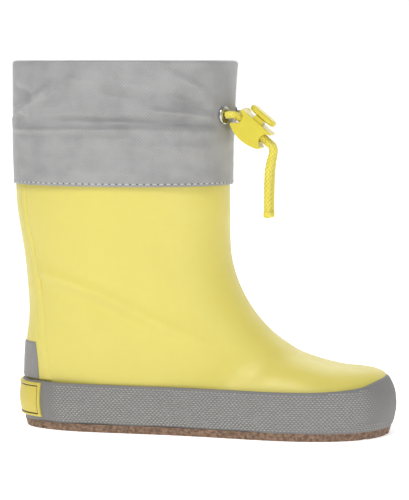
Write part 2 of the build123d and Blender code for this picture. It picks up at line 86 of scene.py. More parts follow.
# ---------------------------------------------------------------- shader expressions
class Signal:
    """One output socket of a material's tree that is used like a number in expressions."""

    def __init__(self, recipe: "Recipe", socket: bpy.types.NodeSocket) -> None:
        """Keep the tree and the socket."""
        self.recipe = recipe
        self.socket = socket

    def _math(self, operation: str, *values: Union["Signal", float]) -> "Signal":
        """Add one Math node.

        Args:
            operation: the node's operation.
            values: its inputs in order.

        Returns:
            The node's output.
        """
        inputs = {index: value for index, value in enumerate(values)}
        return self.recipe.node("ShaderNodeMath", {"operation": operation}, inputs)

    def __add__(self, other: Union["Signal", float]) -> "Signal":
        """self + other."""
        return self._math("ADD", self, other)

    __radd__ = __add__

    def __sub__(self, other: Union["Signal", float]) -> "Signal":
        """self - other."""
        return self._math("SUBTRACT", self, other)

    def __rsub__(self, other: float) -> "Signal":
        """other - self."""
        return self._math("SUBTRACT", other, self)

    def __mul__(self, other: Union["Signal", float]) -> "Signal":
        """self * other."""
        return self._math("MULTIPLY", self, other)

    __rmul__ = __mul__

    def __gt__(self, other: Union["Signal", float]) -> "Signal":
        """1 where self is above other, else 0."""
        return self._math("GREATER_THAN", self, other)

    def __abs__(self) -> "Signal":
        """The size of self without its sign."""
        return self._math("ABSOLUTE", self)

    def sine(self) -> "Signal":
        """The sine of self."""
        return self._math("SINE", self)

    def step(self, low: float, high: float) -> "Signal":
        """Smooth rise from 0 at low to 1 at high."""
        settings = {"interpolation_type": "SMOOTHSTEP"}
        return self.recipe.node("ShaderNodeMapRange", settings, {"Value": self, 1: low, 2: high})


class Recipe:
    """A material's node tree with short ways to add its nodes."""

    def __init__(self, name: str) -> None:
        """Start a material with a Principled shader.

        Args:
            name: the material's name.
        """
        self.material = bpy.data.materials.new(name)
        self.material.use_nodes = True
        self.tree = self.material.node_tree
        self.shader = self.tree.nodes["Principled BSDF"]

    def node(
        self,
        kind: str,
        settings: Optional[dict] = None,
        inputs: Optional[dict] = None,
        output: Union[int, str] = 0,
    ) -> Signal:
        """Add any node.

        Args:
            kind: the node's type.
            settings: its attributes; "stops" gives a ramp's positions and colours.
            inputs: values or signals by socket name or index.
            output: which output to return.

        Returns:
            The chosen output.
        """
        made = self.tree.nodes.new(kind)
        for key, value in (settings or {}).items():
            if key == "stops":
                self._set_stops(made, value)
            else:
                setattr(made, key, value)
        for key, value in (inputs or {}).items():
            self.feed(made.inputs[key], value)
        return Signal(self, made.outputs[output])

    @staticmethod
    def _set_stops(ramp: bpy.types.Node, stops: Sequence[tuple[float, Sequence[float]]]) -> None:
        """Give a colour ramp its stops."""
        elements = ramp.color_ramp.elements
        while len(elements) < len(stops):
            elements.new(1.0)
        for element, (position, colour) in zip(elements, stops):
            element.position = position
            element.color = colour

    def feed(self, socket: bpy.types.NodeSocket, value: object) -> None:
        """Link a signal to a socket or set the socket's own value."""
        if isinstance(value, Signal):
            self.tree.links.new(value.socket, socket)
        elif hasattr(socket.default_value, "__len__") and len(socket.default_value) == 4:
            socket.default_value = (*value[:3], 1.0)
        else:
            socket.default_value = value

    def place(self) -> Signal:
        """Object coordinates, in metres."""
        return self.node("ShaderNodeTexCoord", output="Object")

    def across(self) -> tuple[Signal, Signal]:
        """The piece's own UV in metres, as two signals."""
        u, v, _ = self.parts(self.node("ShaderNodeTexCoord", output="UV"))
        return u, v

    def parts(self, vector: Signal) -> tuple[Signal, Signal, Signal]:
        """A vector's three numbers."""
        split = self.node("ShaderNodeSeparateXYZ", inputs={0: vector})
        outputs = split.socket.node.outputs
        return split, Signal(self, outputs[1]), Signal(self, outputs[2])

    def grain(self, size: float, detail: float = 2.0, roughness: float = 0.5) -> Signal:
        """Noise whose lumps are about size metres.

        Args:
            size: size of one lump.
            detail: octaves.
            roughness: weight of the finer octaves.

        Returns:
            The noise, about 0.5 on average.
        """
        inputs = {"Vector": self.place(), "Scale": 1 / size, "Detail": detail, "Roughness": roughness}
        return self.node("ShaderNodeTexNoise", inputs=inputs)

    def mark(self, name: str) -> Signal:
        """A named number stored on the piece's mesh."""
        return self.node("ShaderNodeAttribute", {"attribute_name": name}, output="Fac")

    def blend(self, factor: Union[Signal, float], low: object, high: object) -> Signal:
        """Mix two colours.

        Args:
            factor: 0 gives low and 1 gives high.
            low: a colour or signal.
            high: a colour or signal.

        Returns:
            The mixed colour.
        """
        inputs = {"Factor": factor, 6: low, 7: high}
        return self.node("ShaderNodeMix", {"data_type": "RGBA"}, inputs, output=2)

    def bump(self, height: Signal, distance: float, strength: float = 1.0) -> None:
        """Feed the shader's normal from a height, over any bump it already has."""
        inputs = {"Height": height, "Distance": distance, "Strength": strength}
        socket = self.shader.inputs["Normal"]
        if socket.links:
            inputs["Normal"] = Signal(self, socket.links[0].from_socket)
        self.feed(socket, self.node("ShaderNodeBump", inputs=inputs))

    def set(self, **values: object) -> "Recipe":
        """Set the shader's sockets, named with underscores for spaces."""
        for key, value in values.items():
            self.feed(self.shader.inputs[key.replace("_", " ")], value)
        return self


def tint(red: float, green: float, blue: float) -> Point:
    """Linear colour of an 8-bit one."""
    linear = []
    for value in (red / 255, green / 255, blue / 255):
        linear.append(value / 12.92 if value <= 0.04045 else ((value + 0.055) / 1.055) ** 2.4)
    return (linear[0], linear[1], linear[2])


def darker(colour: Point, share: float) -> Point:
    """A colour times a share."""
    return (colour[0] * share, colour[1] * share, colour[2] * share)


# ---------------------------------------------------------------- finishes
@dataclass(frozen=True)
class Rubber:
    """Moulded rubber, satin and slightly cloudy."""

    name: str
    colour: Point
    roughness: float = 0.42
    grain_depth: float = 0.00004
    cloud: float = 0.05
    glow: float = 0.12
    lump: float = 0.03
    speck: float = 0.004
    smear: float = 0.006
    grain: float = 0.0007
    depth_of_light: Point = (0.004, 0.003, 0.001)

    def make(self) -> bpy.types.Material:
        """Build the material."""
        recipe = Recipe(self.name)
        cloud = recipe.grain(self.lump, 3.0) * 0.7 + recipe.grain(self.speck, 2.0) * 0.3
        pale, deep = darker(self.colour, 1 + self.cloud), darker(self.colour, 1 - self.cloud)
        shade = recipe.blend(cloud, deep, pale)
        rough = recipe.grain(self.smear, 3.0).step(0.3, 0.7) * 0.1 + (self.roughness - 0.05)
        recipe.set(Base_Color=shade, Roughness=rough, Specular_IOR_Level=0.45)
        recipe.set(Subsurface_Weight=self.glow, Subsurface_Radius=self.depth_of_light, Subsurface_Scale=1.0)
        recipe.bump(recipe.grain(self.grain, 2.0), self.grain_depth)
        return recipe.material


@dataclass(frozen=True)
class GrooveShadedRubber:
    """Rubber with a darker second colour painted into the groove that the mesh marks, as painted shade."""

    name: str
    colour: Point
    inlay: Point
    roughness: float = 0.42
    lump: float = 0.01
    grain: float = 0.0007
    grain_depth: float = 0.00003

    def make(self) -> bpy.types.Material:
        """Build the material."""
        recipe = Recipe(self.name)
        cloud = recipe.grain(self.lump, 3.0)
        ground = recipe.blend(cloud, darker(self.colour, 0.94), darker(self.colour, 1.04))
        # painted shade: the marked groove is darkened with the second colour
        shade = recipe.blend(recipe.mark("inlay").step(0.25, 0.75), ground, self.inlay)
        recipe.set(Base_Color=shade, Roughness=cloud * 0.1 + self.roughness)
        recipe.bump(recipe.grain(self.grain, 2.0), self.grain_depth)
        return recipe.material


@dataclass(frozen=True)
class Crepe:
    """Speckled gum rubber."""

    name: str
    light: Point
    dark: Point
    roughness: float = 0.6
    speckle: float = 0.0016
    pitting: float = 0.0003

    def make(self) -> bpy.types.Material:
        """Build the material."""
        recipe = Recipe(self.name)
        speckle = recipe.grain(self.speckle, 4.0, 0.7)
        shade = recipe.blend(speckle.step(0.38, 0.64), self.dark, self.light)
        recipe.set(Base_Color=shade, Roughness=speckle * 0.2 + self.roughness)
        recipe.bump(speckle, self.pitting)
        return recipe.material


@dataclass(frozen=True)
class Cloth:
    """Woven cloth on a piece's own UV in metres, or on object coordinates."""

    name: str
    colour: Point
    thread: float = 0.0006
    contrast: float = 0.12
    roughness: float = 0.6
    sheen: float = 0.2
    follows_uv: bool = False
    cloud: float = 0.05
    lump: float = 0.012
    weave_depth: float = 0.12

    def make(self) -> bpy.types.Material:
        """Build the material."""
        recipe = Recipe(self.name)
        if self.follows_uv:
            u, v = recipe.across()
        else:
            x, y, z = recipe.parts(recipe.place())
            u, v = x + y, z + y * 0.5
        turn = math.pi / self.thread
        warp, weft = (u * turn).sine(), (v * turn).sine()
        over = (warp * weft) > 0.0
        height = over * abs(weft) + (1 - over) * abs(warp)
        lift = height * 0.7 + over * 0.3
        # the cloud mottles the cloth's tone at random; on the cuff nylon it is raised to paint crease shade
        # and sheen into the colour
        cloud = recipe.grain(self.lump, 4.0) * self.cloud * 2 + (1 - self.cloud)
        thread = lift * self.contrast + (1 - self.contrast)
        shade = recipe.blend(thread * cloud, (0, 0, 0), self.colour)
        recipe.set(Base_Color=shade, Roughness=(1 - lift) * 0.15 + self.roughness)
        recipe.set(Sheen_Weight=self.sheen, Sheen_Roughness=0.4)
        recipe.bump(lift, self.thread * self.weave_depth)
        return recipe.material


@dataclass(frozen=True)
class Braid:
    """Braided cord: the mesh carries how deep each point lies between the strands, and the valleys between
    them get a darker colour as painted shade.
    """

    name: str
    colour: Point
    valley_shade: Point
    roughness: float = 0.6
    sheen: float = 0.3
    fibre: float = 0.0003
    fibre_depth: float = 0.00005

    def make(self) -> bpy.types.Material:
        """Build the material."""
        recipe = Recipe(self.name)
        fibre = recipe.grain(self.fibre, 2.0)
        crown = recipe.mark("crown") * 0.85 + fibre * 0.3
        # painted shade: the darker second colour goes into the valleys between the strands
        shade = recipe.blend(crown.step(0.1, 0.75), self.valley_shade, self.colour)
        recipe.set(Base_Color=shade, Roughness=self.roughness - fibre * 0.15)
        recipe.set(Sheen_Weight=self.sheen)
        recipe.bump(fibre, self.fibre_depth)
        return recipe.material


@dataclass(frozen=True)
class Plastic:
    """Glossy moulded plastic with a faint flow texture."""

    name: str
    colour: Point
    roughness: float = 0.3
    flow: float = 0.005
    grain: float = 0.0005
    grain_depth: float = 0.00002
    depth_of_light: Point = (0.002, 0.0015, 0.0005)

    def make(self) -> bpy.types.Material:
        """Build the material."""
        recipe = Recipe(self.name)
        flow = recipe.grain(self.flow, 3.0)
        shade = recipe.blend(flow, darker(self.colour, 0.94), darker(self.colour, 1.04))
        recipe.set(Base_Color=shade, Roughness=flow * 0.12 + self.roughness, Coat_Weight=0.2)
        recipe.set(Subsurface_Weight=0.1, Subsurface_Radius=self.depth_of_light, Subsurface_Scale=1.0)
        recipe.bump(recipe.grain(self.grain, 2.0), self.grain_depth)
        return recipe.material


@dataclass(frozen=True)
class Metal:
    """Plated or drawn metal with fine wear."""

    name: str
    colour: Point
    roughness: float = 0.22
    wear: float = 0.0012
    wear_depth: float = 0.00002

    def make(self) -> bpy.types.Material:
        """Build the material."""
        recipe = Recipe(self.name)
        wear = recipe.grain(self.wear, 4.0, 0.65)
        shade = recipe.blend(wear.step(0.35, 0.7), darker(self.colour, 0.8), self.colour)
        recipe.set(Base_Color=shade, Metallic=1.0, Roughness=wear * 0.2 + (self.roughness - 0.1))
        recipe.bump(wear, self.wear_depth)
        return recipe.material


@dataclass(frozen=True)
class Foam:
    """Foam or pressed fibre, matt and pitted."""

    name: str
    colour: Point
    cell: float = 0.0009
    roughness: float = 0.8
    pitting: float = 0.15

    def make(self) -> bpy.types.Material:
        """Build the material."""
        recipe = Recipe(self.name)
        inputs = {"Vector": recipe.place(), "Scale": 1 / self.cell}
        cells = recipe.node("ShaderNodeTexVoronoi", inputs=inputs)
        shade = recipe.blend(cells.step(0.1, 0.6), darker(self.colour, 0.85), self.colour)
        recipe.set(Base_Color=shade, Roughness=cells * 0.1 + self.roughness)
        recipe.bump(cells, self.cell * self.pitting)
        return recipe.material


class Slot(Enum):
    """The part's material slots."""

    GUM = "gum_rubber"
    GREY_RUBBER = "grey_rubber"
    YELLOW_RUBBER = "yellow_rubber"
    YELLOW_TRIM = "yellow_trim"
    REFLECTIVE = "reflective_grey"
    NYLON = "nylon_grey"
    LINING = "lining_textile"
    BOARD = "fibre_board"
    FILLER = "filler_foam"
    FOOTBED = "footbed_foam"
    METAL = "eyelet_metal"
    CORD = "cord_yellow"
    TIP = "cord_tip_melt"
    LOCK = "lock_plastic"
    SPRING = "spring_steel"


FINISHES = {
    Slot.GUM: Crepe("gum_crepe", tint(150, 121, 98), tint(98, 74, 58)),
    # the band's own grey rubber, painted darker than the studs' copy as painted shade between the studs
    Slot.GREY_RUBBER: Rubber("foxing_rubber_shaded", tint(124, 123, 122), 0.62, 0.00008, 0.05, 0.0),
    Slot.YELLOW_RUBBER: Rubber("upper_rubber", tint(221, 207, 106)),
    # the trim's dark second colour is painted shade in the label's groove
    Slot.YELLOW_TRIM: GrooveShadedRubber("trim_rubber", tint(214, 196, 86), tint(84, 70, 44)),
    Slot.REFLECTIVE: Cloth("heel_tape", tint(142, 141, 140), 0.0005, 0.18, 0.5, 0.1),
    # painted shade and sheen: the nylon's strong cloud of 0.3 stands in for the shading of its creases
    Slot.NYLON: Cloth("cuff_nylon", tint(164, 164, 164), 0.0009, 0.24, 0.4, 0.15, True, 0.3),
    Slot.LINING: Cloth("sock_knit", tint(186, 184, 178), 0.0011, 0.3, 0.85, 0.3),
    Slot.BOARD: Foam("fibre_board", tint(160, 140, 112)),
    Slot.FILLER: Foam("sole_filler", tint(60, 60, 60), 0.0014),
    Slot.FOOTBED: Foam("footbed_foam", tint(214, 212, 200)),
    Slot.METAL: Metal("eyelet_nickel", tint(215, 215, 215)),
    # the cord's second, darker colour is painted shade for the valleys between its strands
    Slot.CORD: Braid("cord_braid", tint(232, 218, 84), tint(176, 158, 34)),
    Slot.TIP: Plastic("cord_melt", tint(226, 212, 78), 0.45),
    Slot.LOCK: Plastic("lock_acetal", tint(216, 201, 60)),
    Slot.SPRING: Metal("spring_wire", tint(180, 180, 184), 0.3),
}


class Wardrobe:
    """Makes each finish once."""

    def __init__(self) -> None:
        """Start with no material made."""
        self.made: dict[Slot, bpy.types.Material] = {}

    def get(self, slot: Slot) -> bpy.types.Material:
        """The material of a slot."""
        if slot not in self.made:
            self.made[slot] = FINISHES[slot].make()
        return self.made[slot]

    def dress(self, piece: bpy.types.Object, slot: Slot) -> None:
        """Give a piece its only material."""
        piece.data.materials.clear()
        piece.data.materials.append(self.get(slot))


# ---------------------------------------------------------------- mesh helpers
def through(stations: Sequence[float], values: np.ndarray, at: np.ndarray) -> np.ndarray:
    """Smooth values between stations without overshoot beyond a cubic's.

    Args:
        stations: rising positions of the known rows.
        values: one row for each station.
        at: where values are wanted.

    Returns:
        One row for each wanted position.
    """
    known = np.asarray(stations, float)
    rows = np.asarray(values, float)
    if rows.ndim == 1:
        rows = rows[:, None]
    gaps = np.diff(known)[:, None]
    slopes = np.diff(rows, axis=0) / gaps
    inner = (slopes[:-1] * gaps[1:] + slopes[1:] * gaps[:-1]) / (gaps[1:] + gaps[:-1])
    tangents = np.vstack([slopes[:1], inner, slopes[-1:]])
    index = np.clip(np.searchsorted(known, at, side="right") - 1, 0, len(known) - 2)
    span = gaps[index]
    t = ((np.asarray(at) - known[index])[:, None]) / span
    cubic = (2 * t**3 - 3 * t**2 + 1) * rows[index] + (t**3 - 2 * t**2 + t) * span * tangents[index]
    cubic += (3 * t**2 - 2 * t**3) * rows[index + 1] + (t**3 - t**2) * span * tangents[index + 1]
    return cubic


def rise(value: np.ndarray, low: float, high: float) -> np.ndarray:
    """Smooth step from 0 at low to 1 at high."""
    t = np.clip((value - low) / (high - low), 0, 1)
    return t * t * (3 - 2 * t)


def rounded(value: np.ndarray, power: float) -> np.ndarray:
    """A sine or cosine raised to a power with its sign kept, for a squarer or rounder oval."""
    return np.sign(value) * np.abs(value) ** power


def turns(count: int) -> np.ndarray:
    """Even angles round a full turn, radians."""
    return np.arange(count) * 2 * math.pi / count


def unit(vectors: np.ndarray) -> np.ndarray:
    """Rows scaled to length 1."""
    return vectors / np.linalg.norm(vectors, axis=1, keepdims=True)


def distances(path: np.ndarray) -> np.ndarray:
    """How far each point of a path is from its first, along the path."""
    return np.concatenate([[0], np.cumsum(np.linalg.norm(np.diff(path, axis=0), axis=1))])


def along_path(at: np.ndarray, reached: np.ndarray, path: np.ndarray) -> np.ndarray:
    """Points of a path at chosen distances.

    Args:
        at: the distances.
        reached: distance of each of the path's own points.
        path: the path's points.

    Returns:
        One point for each distance.
    """
    return np.stack([np.interp(at, reached, path[:, k]) for k in range(path.shape[1])], axis=1)


def sheet_of(
    name: str,
    points: np.ndarray,
    wrap_rows: bool,
    wrap_columns: bool,
    uv: Optional[np.ndarray] = None,
) -> bpy.types.Object:
    """A quad grid from an array of points.

    Args:
        name: the piece's name.
        points: rows by columns by 3, metres.
        wrap_rows: join the last row to the first.
        wrap_columns: join the last column to the first.
        uv: rows by columns by 2 in metres, one more column and row where the grid wraps.

    Returns:
        The new object, smooth shaded.
    """
    rows, columns = points.shape[:2]
    mesh = bpy.data.meshes.new(name)
    faces = []
    corners = []
    for i in range(rows if wrap_rows else rows - 1):
        for j in range(columns if wrap_columns else columns - 1):
            i2, j2 = (i + 1) % rows, (j + 1) % columns
            faces.append((i * columns + j, i * columns + j2, i2 * columns + j2, i2 * columns + j))
            corners += [(i, j), (i, j + 1), (i + 1, j + 1), (i + 1, j)]
    mesh.from_pydata(points.reshape(-1, 3).tolist(), [], faces)
    if uv is not None:
        layer = mesh.uv_layers.new(name="UVMap")
        picked = np.array([uv[i, j] for i, j in corners], float)
        layer.data.foreach_set("uv", picked.ravel())
    mesh.shade_smooth()
    piece = bpy.data.objects.new(name, mesh)
    bpy.context.scene.collection.objects.link(piece)
    return piece


def tube_of(name: str, rings: np.ndarray) -> bpy.types.Object:
    """A closed tube with flat ends.

    Args:
        name: the piece's name.
        rings: rings by points by 3, metres.

    Returns:
        The new object, smooth shaded.
    """
    count, around = rings.shape[:2]
    piece = sheet_of(name, rings, False, True)
    work = bmesh.new()
    work.from_mesh(piece.data)
    work.verts.ensure_lookup_table()
    for first in (0, (count - 1) * around):
        work.faces.new([work.verts[first + k] for k in range(around)])
    bmesh.ops.recalc_face_normals(work, faces=work.faces)
    work.to_mesh(piece.data)
    work.free()
    piece.data.shade_smooth()
    return piece


def tidy_normals(piece: bpy.types.Object) -> bpy.types.Object:
    """Merge doubles and turn the faces of a closed or Solidify-ready mesh outwards."""
    work = bmesh.new()
    work.from_mesh(piece.data)
    bmesh.ops.remove_doubles(work, verts=work.verts, dist=0.00001)
    bmesh.ops.recalc_face_normals(work, faces=work.faces)
    work.to_mesh(piece.data)
    work.free()
    piece.data.shade_smooth()
    return piece


def settle(piece: bpy.types.Object) -> bpy.types.Object:
    """Turn a piece's modifiers into its plain mesh."""
    graph = bpy.context.evaluated_depsgraph_get()
    fresh = bpy.data.meshes.new_from_object(piece.evaluated_get(graph))
    piece.modifiers.clear()
    piece.data = fresh
    return piece


def thicken(piece: bpy.types.Object, wall: float) -> bpy.types.Object:
    """Give an open skin a wall on its inner side."""
    solid = piece.modifiers.new("wall", "SOLIDIFY")
    solid.thickness = wall
    solid.offset = -1.0
    solid.use_even_offset = False
    return settle(piece)


def grid_normals(points: np.ndarray, wrap_columns: bool) -> np.ndarray:
    """Unit normals of a grid, by the turn from rows to columns."""
    if wrap_columns:
        around = np.roll(points, -1, axis=1) - np.roll(points, 1, axis=1)
    else:
        around = np.gradient(points, axis=1)
    along = np.gradient(points, axis=0)
    normals = np.cross(around, along)
    return normals / np.maximum(np.linalg.norm(normals, axis=2, keepdims=True), 1e-12)


def tree_of(nodes: Sequence[bpy.types.Object]) -> BVHTree:
    """One search tree over several CAD nodes."""
    corners: list[Vector] = []
    faces: list[tuple[int, ...]] = []
    for node in nodes:
        base = len(corners)
        corners += [vertex.co.copy() for vertex in node.data.vertices]
        faces += [tuple(base + index for index in face.vertices) for face in node.data.polygons]
    return BVHTree.FromPolygons(corners, faces)


class Scatter:
    """Geometry Nodes tree that sets a small shape on every point of a guide."""

    def __init__(self, name: str, shape: str, settings: dict, finish: bpy.types.Material) -> None:
        """Build the tree.

        Args:
            name: the tree's name.
            shape: node type of the mesh primitive.
            settings: values of the primitive's sockets.
            finish: the material set at the end.
        """
        self.tree = bpy.data.node_groups.new(name, "GeometryNodeTree")
        face = self.tree.interface
        face.new_socket("Geometry", in_out="INPUT", socket_type="NodeSocketGeometry")
        self.inputs = {}
        for label in ("Length", "Width", "Proud", "Unevenness"):
            self.inputs[label] = face.new_socket(label, in_out="INPUT", socket_type="NodeSocketFloat")
        self.inputs["Seed"] = face.new_socket("Seed", in_out="INPUT", socket_type="NodeSocketInt")
        face.new_socket("Geometry", in_out="OUTPUT", socket_type="NodeSocketGeometry")
        start = self._add("NodeGroupInput")
        primitive = self._add(shape)
        for key, value in settings.items():
            primitive.inputs[key].default_value = value
        sides = {k: start.outputs[label] for k, label in enumerate(("Length", "Width", "Proud"))}
        size = self._add("ShaderNodeCombineXYZ", sides)
        links = {"Geometry": primitive.outputs[0], "Scale": size.outputs[0]}
        shaped = self._add("GeometryNodeTransform", links)
        smooth = self._add("GeometryNodeSetShadeSmooth", {"Geometry": shaped.outputs[0]})
        smooth.inputs["Shade Smooth"].default_value = shape != "GeometryNodeMeshCone"
        facing = self._attribute("facing", "FLOAT_VECTOR")
        along = self._attribute("along", "FLOAT_VECTOR")
        scale = self._attribute("size", "FLOAT")
        turn = self._add("FunctionNodeAxesToRotation", {"Primary Axis": facing, "Secondary Axis": along})
        turn.primary_axis = "Z"
        turn.secondary_axis = "X"
        lowest = self._add("ShaderNodeMath", {1: start.outputs["Unevenness"]})
        lowest.operation = "SUBTRACT"
        lowest.inputs[0].default_value = 1.0
        chance = self._add("FunctionNodeRandomValue", {"Seed": start.outputs["Seed"]})
        chance.data_type = "FLOAT"
        self.tree.links.new(lowest.outputs[0], chance.inputs[2])
        chance.inputs[3].default_value = 1.0
        product = self._add("ShaderNodeMath", {0: scale, 1: chance.outputs[1]})
        product.operation = "MULTIPLY"
        links = {"Points": start.outputs["Geometry"], "Instance": smooth.outputs[0]}
        links |= {"Rotation": turn.outputs[0], "Scale": product.outputs[0]}
        placed = self._add("GeometryNodeInstanceOnPoints", links)
        real = self._add("GeometryNodeRealizeInstances", {"Geometry": placed.outputs[0]})
        dressed = self._add("GeometryNodeSetMaterial", {"Geometry": real.outputs[0]})
        dressed.inputs["Material"].default_value = finish
        self._add("NodeGroupOutput", {"Geometry": dressed.outputs[0]})
        self.finish = finish

    def _add(self, kind: str, links: Optional[dict] = None) -> bpy.types.Node:
        """Add a node and link its inputs."""
        node = self.tree.nodes.new(kind)
        for key, socket in (links or {}).items():
            self.tree.links.new(socket, node.inputs[key])
        return node

    def _attribute(self, name: str, kind: str) -> bpy.types.NodeSocket:
        """A named attribute of the guide's points."""
        node = self.tree.nodes.new("GeometryNodeInputNamedAttribute")
        node.data_type = kind
        node.inputs["Name"].default_value = name
        return node.outputs[0]

    def run(
        self,
        name: str,
        places: np.ndarray,
        facing: np.ndarray,
        along: np.ndarray,
        size: np.ndarray,
        sizes: dict,
    ) -> bpy.types.Object:
        """Set the shapes out.

        Args:
            name: the piece's name.
            places: one point for each shape, metres.
            facing: which way each shape's top points.
            along: which way each shape's length points.
            size: scale of each shape.
            sizes: values of the tree's named inputs.

        Returns:
            A plain mesh object with the finish.
        """
        mesh = bpy.data.meshes.new(name)
        mesh.from_pydata(places.tolist(), [], [])
        for label, values in (("facing", facing), ("along", along)):
            ways = mesh.attributes.new(label, "FLOAT_VECTOR", "POINT")
            ways.data.foreach_set("vector", values.ravel())
        mesh.attributes.new("size", "FLOAT", "POINT").data.foreach_set("value", size)
        piece = bpy.data.objects.new(name, mesh)
        bpy.context.scene.collection.objects.link(piece)
        modifier = piece.modifiers.new("scatter", "NODES")
        modifier.node_group = self.tree
        for label, value in sizes.items():
            modifier[self.inputs[label].identifier] = value
        settle(piece)
        if not piece.data.materials:
            piece.data.materials.append(self.finish)
        return piece


# ---------------------------------------------------------------- studio
@dataclass
class Studio:
    """Camera, lights, floor and backdrop."""

    camera_at: Point = (0.2300, -1.0760, 0.1824)
    looks_at: Point = (0.0013, 0.0, 0.0894)
    lens: float = 159.0
    film: float = 36.0
    boot_middle: Point = (0.0, 0.0, 0.09)
    floor_half: float = 6.0
    floor_end: float = 1.5
    sweep: float = 2.0
    wall_top: float = 6.0
    world_light: float = 0.22
    floor_glow: float = 0.55
    # name, place, side in metres, power in watts
    lights: tuple[tuple[str, Point, float, float], ...] = (
        ("key", (-0.3, -1.1, 1.6), 0.8, 19.0),
        ("fill", (1.3, -1.5, 0.5), 1.2, 8.0),
        ("back", (-0.2, 1.4, 1.2), 1.6, 8.0),
    )

    def build(self) -> None:
        """Make the camera first, then the floor and lights."""
        data = bpy.data.cameras.new("camera")
        data.sensor_fit = "VERTICAL"
        data.sensor_height = self.film
        data.lens = self.lens
        camera = bpy.data.objects.new("camera", data)
        camera.location = self.camera_at
        camera.rotation_euler = self._aim(self.camera_at, self.looks_at)
        bpy.context.scene.collection.objects.link(camera)
        bpy.context.scene.camera = camera
        self._floor()
        for light in self.lights:
            self._light(*light)
        world = bpy.data.worlds.new("studio")
        world.use_nodes = True
        sky = world.node_tree.nodes["Background"]
        sky.inputs["Color"].default_value = (1, 1, 1, 1)
        sky.inputs["Strength"].default_value = self.world_light
        bpy.context.scene.world = world
        bpy.context.scene.view_settings.view_transform = "Standard"

    @staticmethod
    def _aim(place: Point, target: Point) -> Euler:
        """The turn that points a camera or light from a place to a target."""
        return (Vector(target) - Vector(place)).to_track_quat("-Z", "Y").to_euler()

    def _floor(self) -> None:
        """A pale floor that curves up into a backdrop."""
        half, end, sweep = self.floor_half, self.floor_end, self.sweep
        profile = [(-half, 0.0), (end, 0.0)]
        steps = 12
        for step in range(1, steps + 1):
            angle = math.pi / 2 * step / steps
            profile.append((end + sweep * math.sin(angle), sweep - sweep * math.cos(angle)))
        profile.append((end + sweep, self.wall_top))
        points = np.array([[(x, y, z) for x in (-half, half)] for y, z in profile])
        floor = sheet_of("floor", points, False, False)
        recipe = Recipe("floor_paint")
        mottle = recipe.grain(0.5, 2.0)
        pale = recipe.blend(mottle, (0.93, 0.93, 0.93), (0.95, 0.95, 0.95))
        recipe.set(Base_Color=pale, Roughness=0.9, Specular_IOR_Level=0.1)
        recipe.set(Emission_Color=(1.0, 1.0, 1.0), Emission_Strength=self.floor_glow)
        floor.data.materials.append(recipe.material)

    def _light(self, name: str, place: Point, side: float, power: float) -> None:
        """A square soft light aimed at the boot."""
        data = bpy.data.lights.new(name, "AREA")
        data.size = side
        data.energy = power
        light = bpy.data.objects.new(name, data)
        light.location = place
        light.rotation_euler = self._aim(place, self.boot_middle)
        bpy.context.scene.collection.objects.link(light)


# ---------------------------------------------------------------- drawcord
class Side(Enum):
    """The two strands of the drawcord."""

    OUTER = -1
    INNER = 1


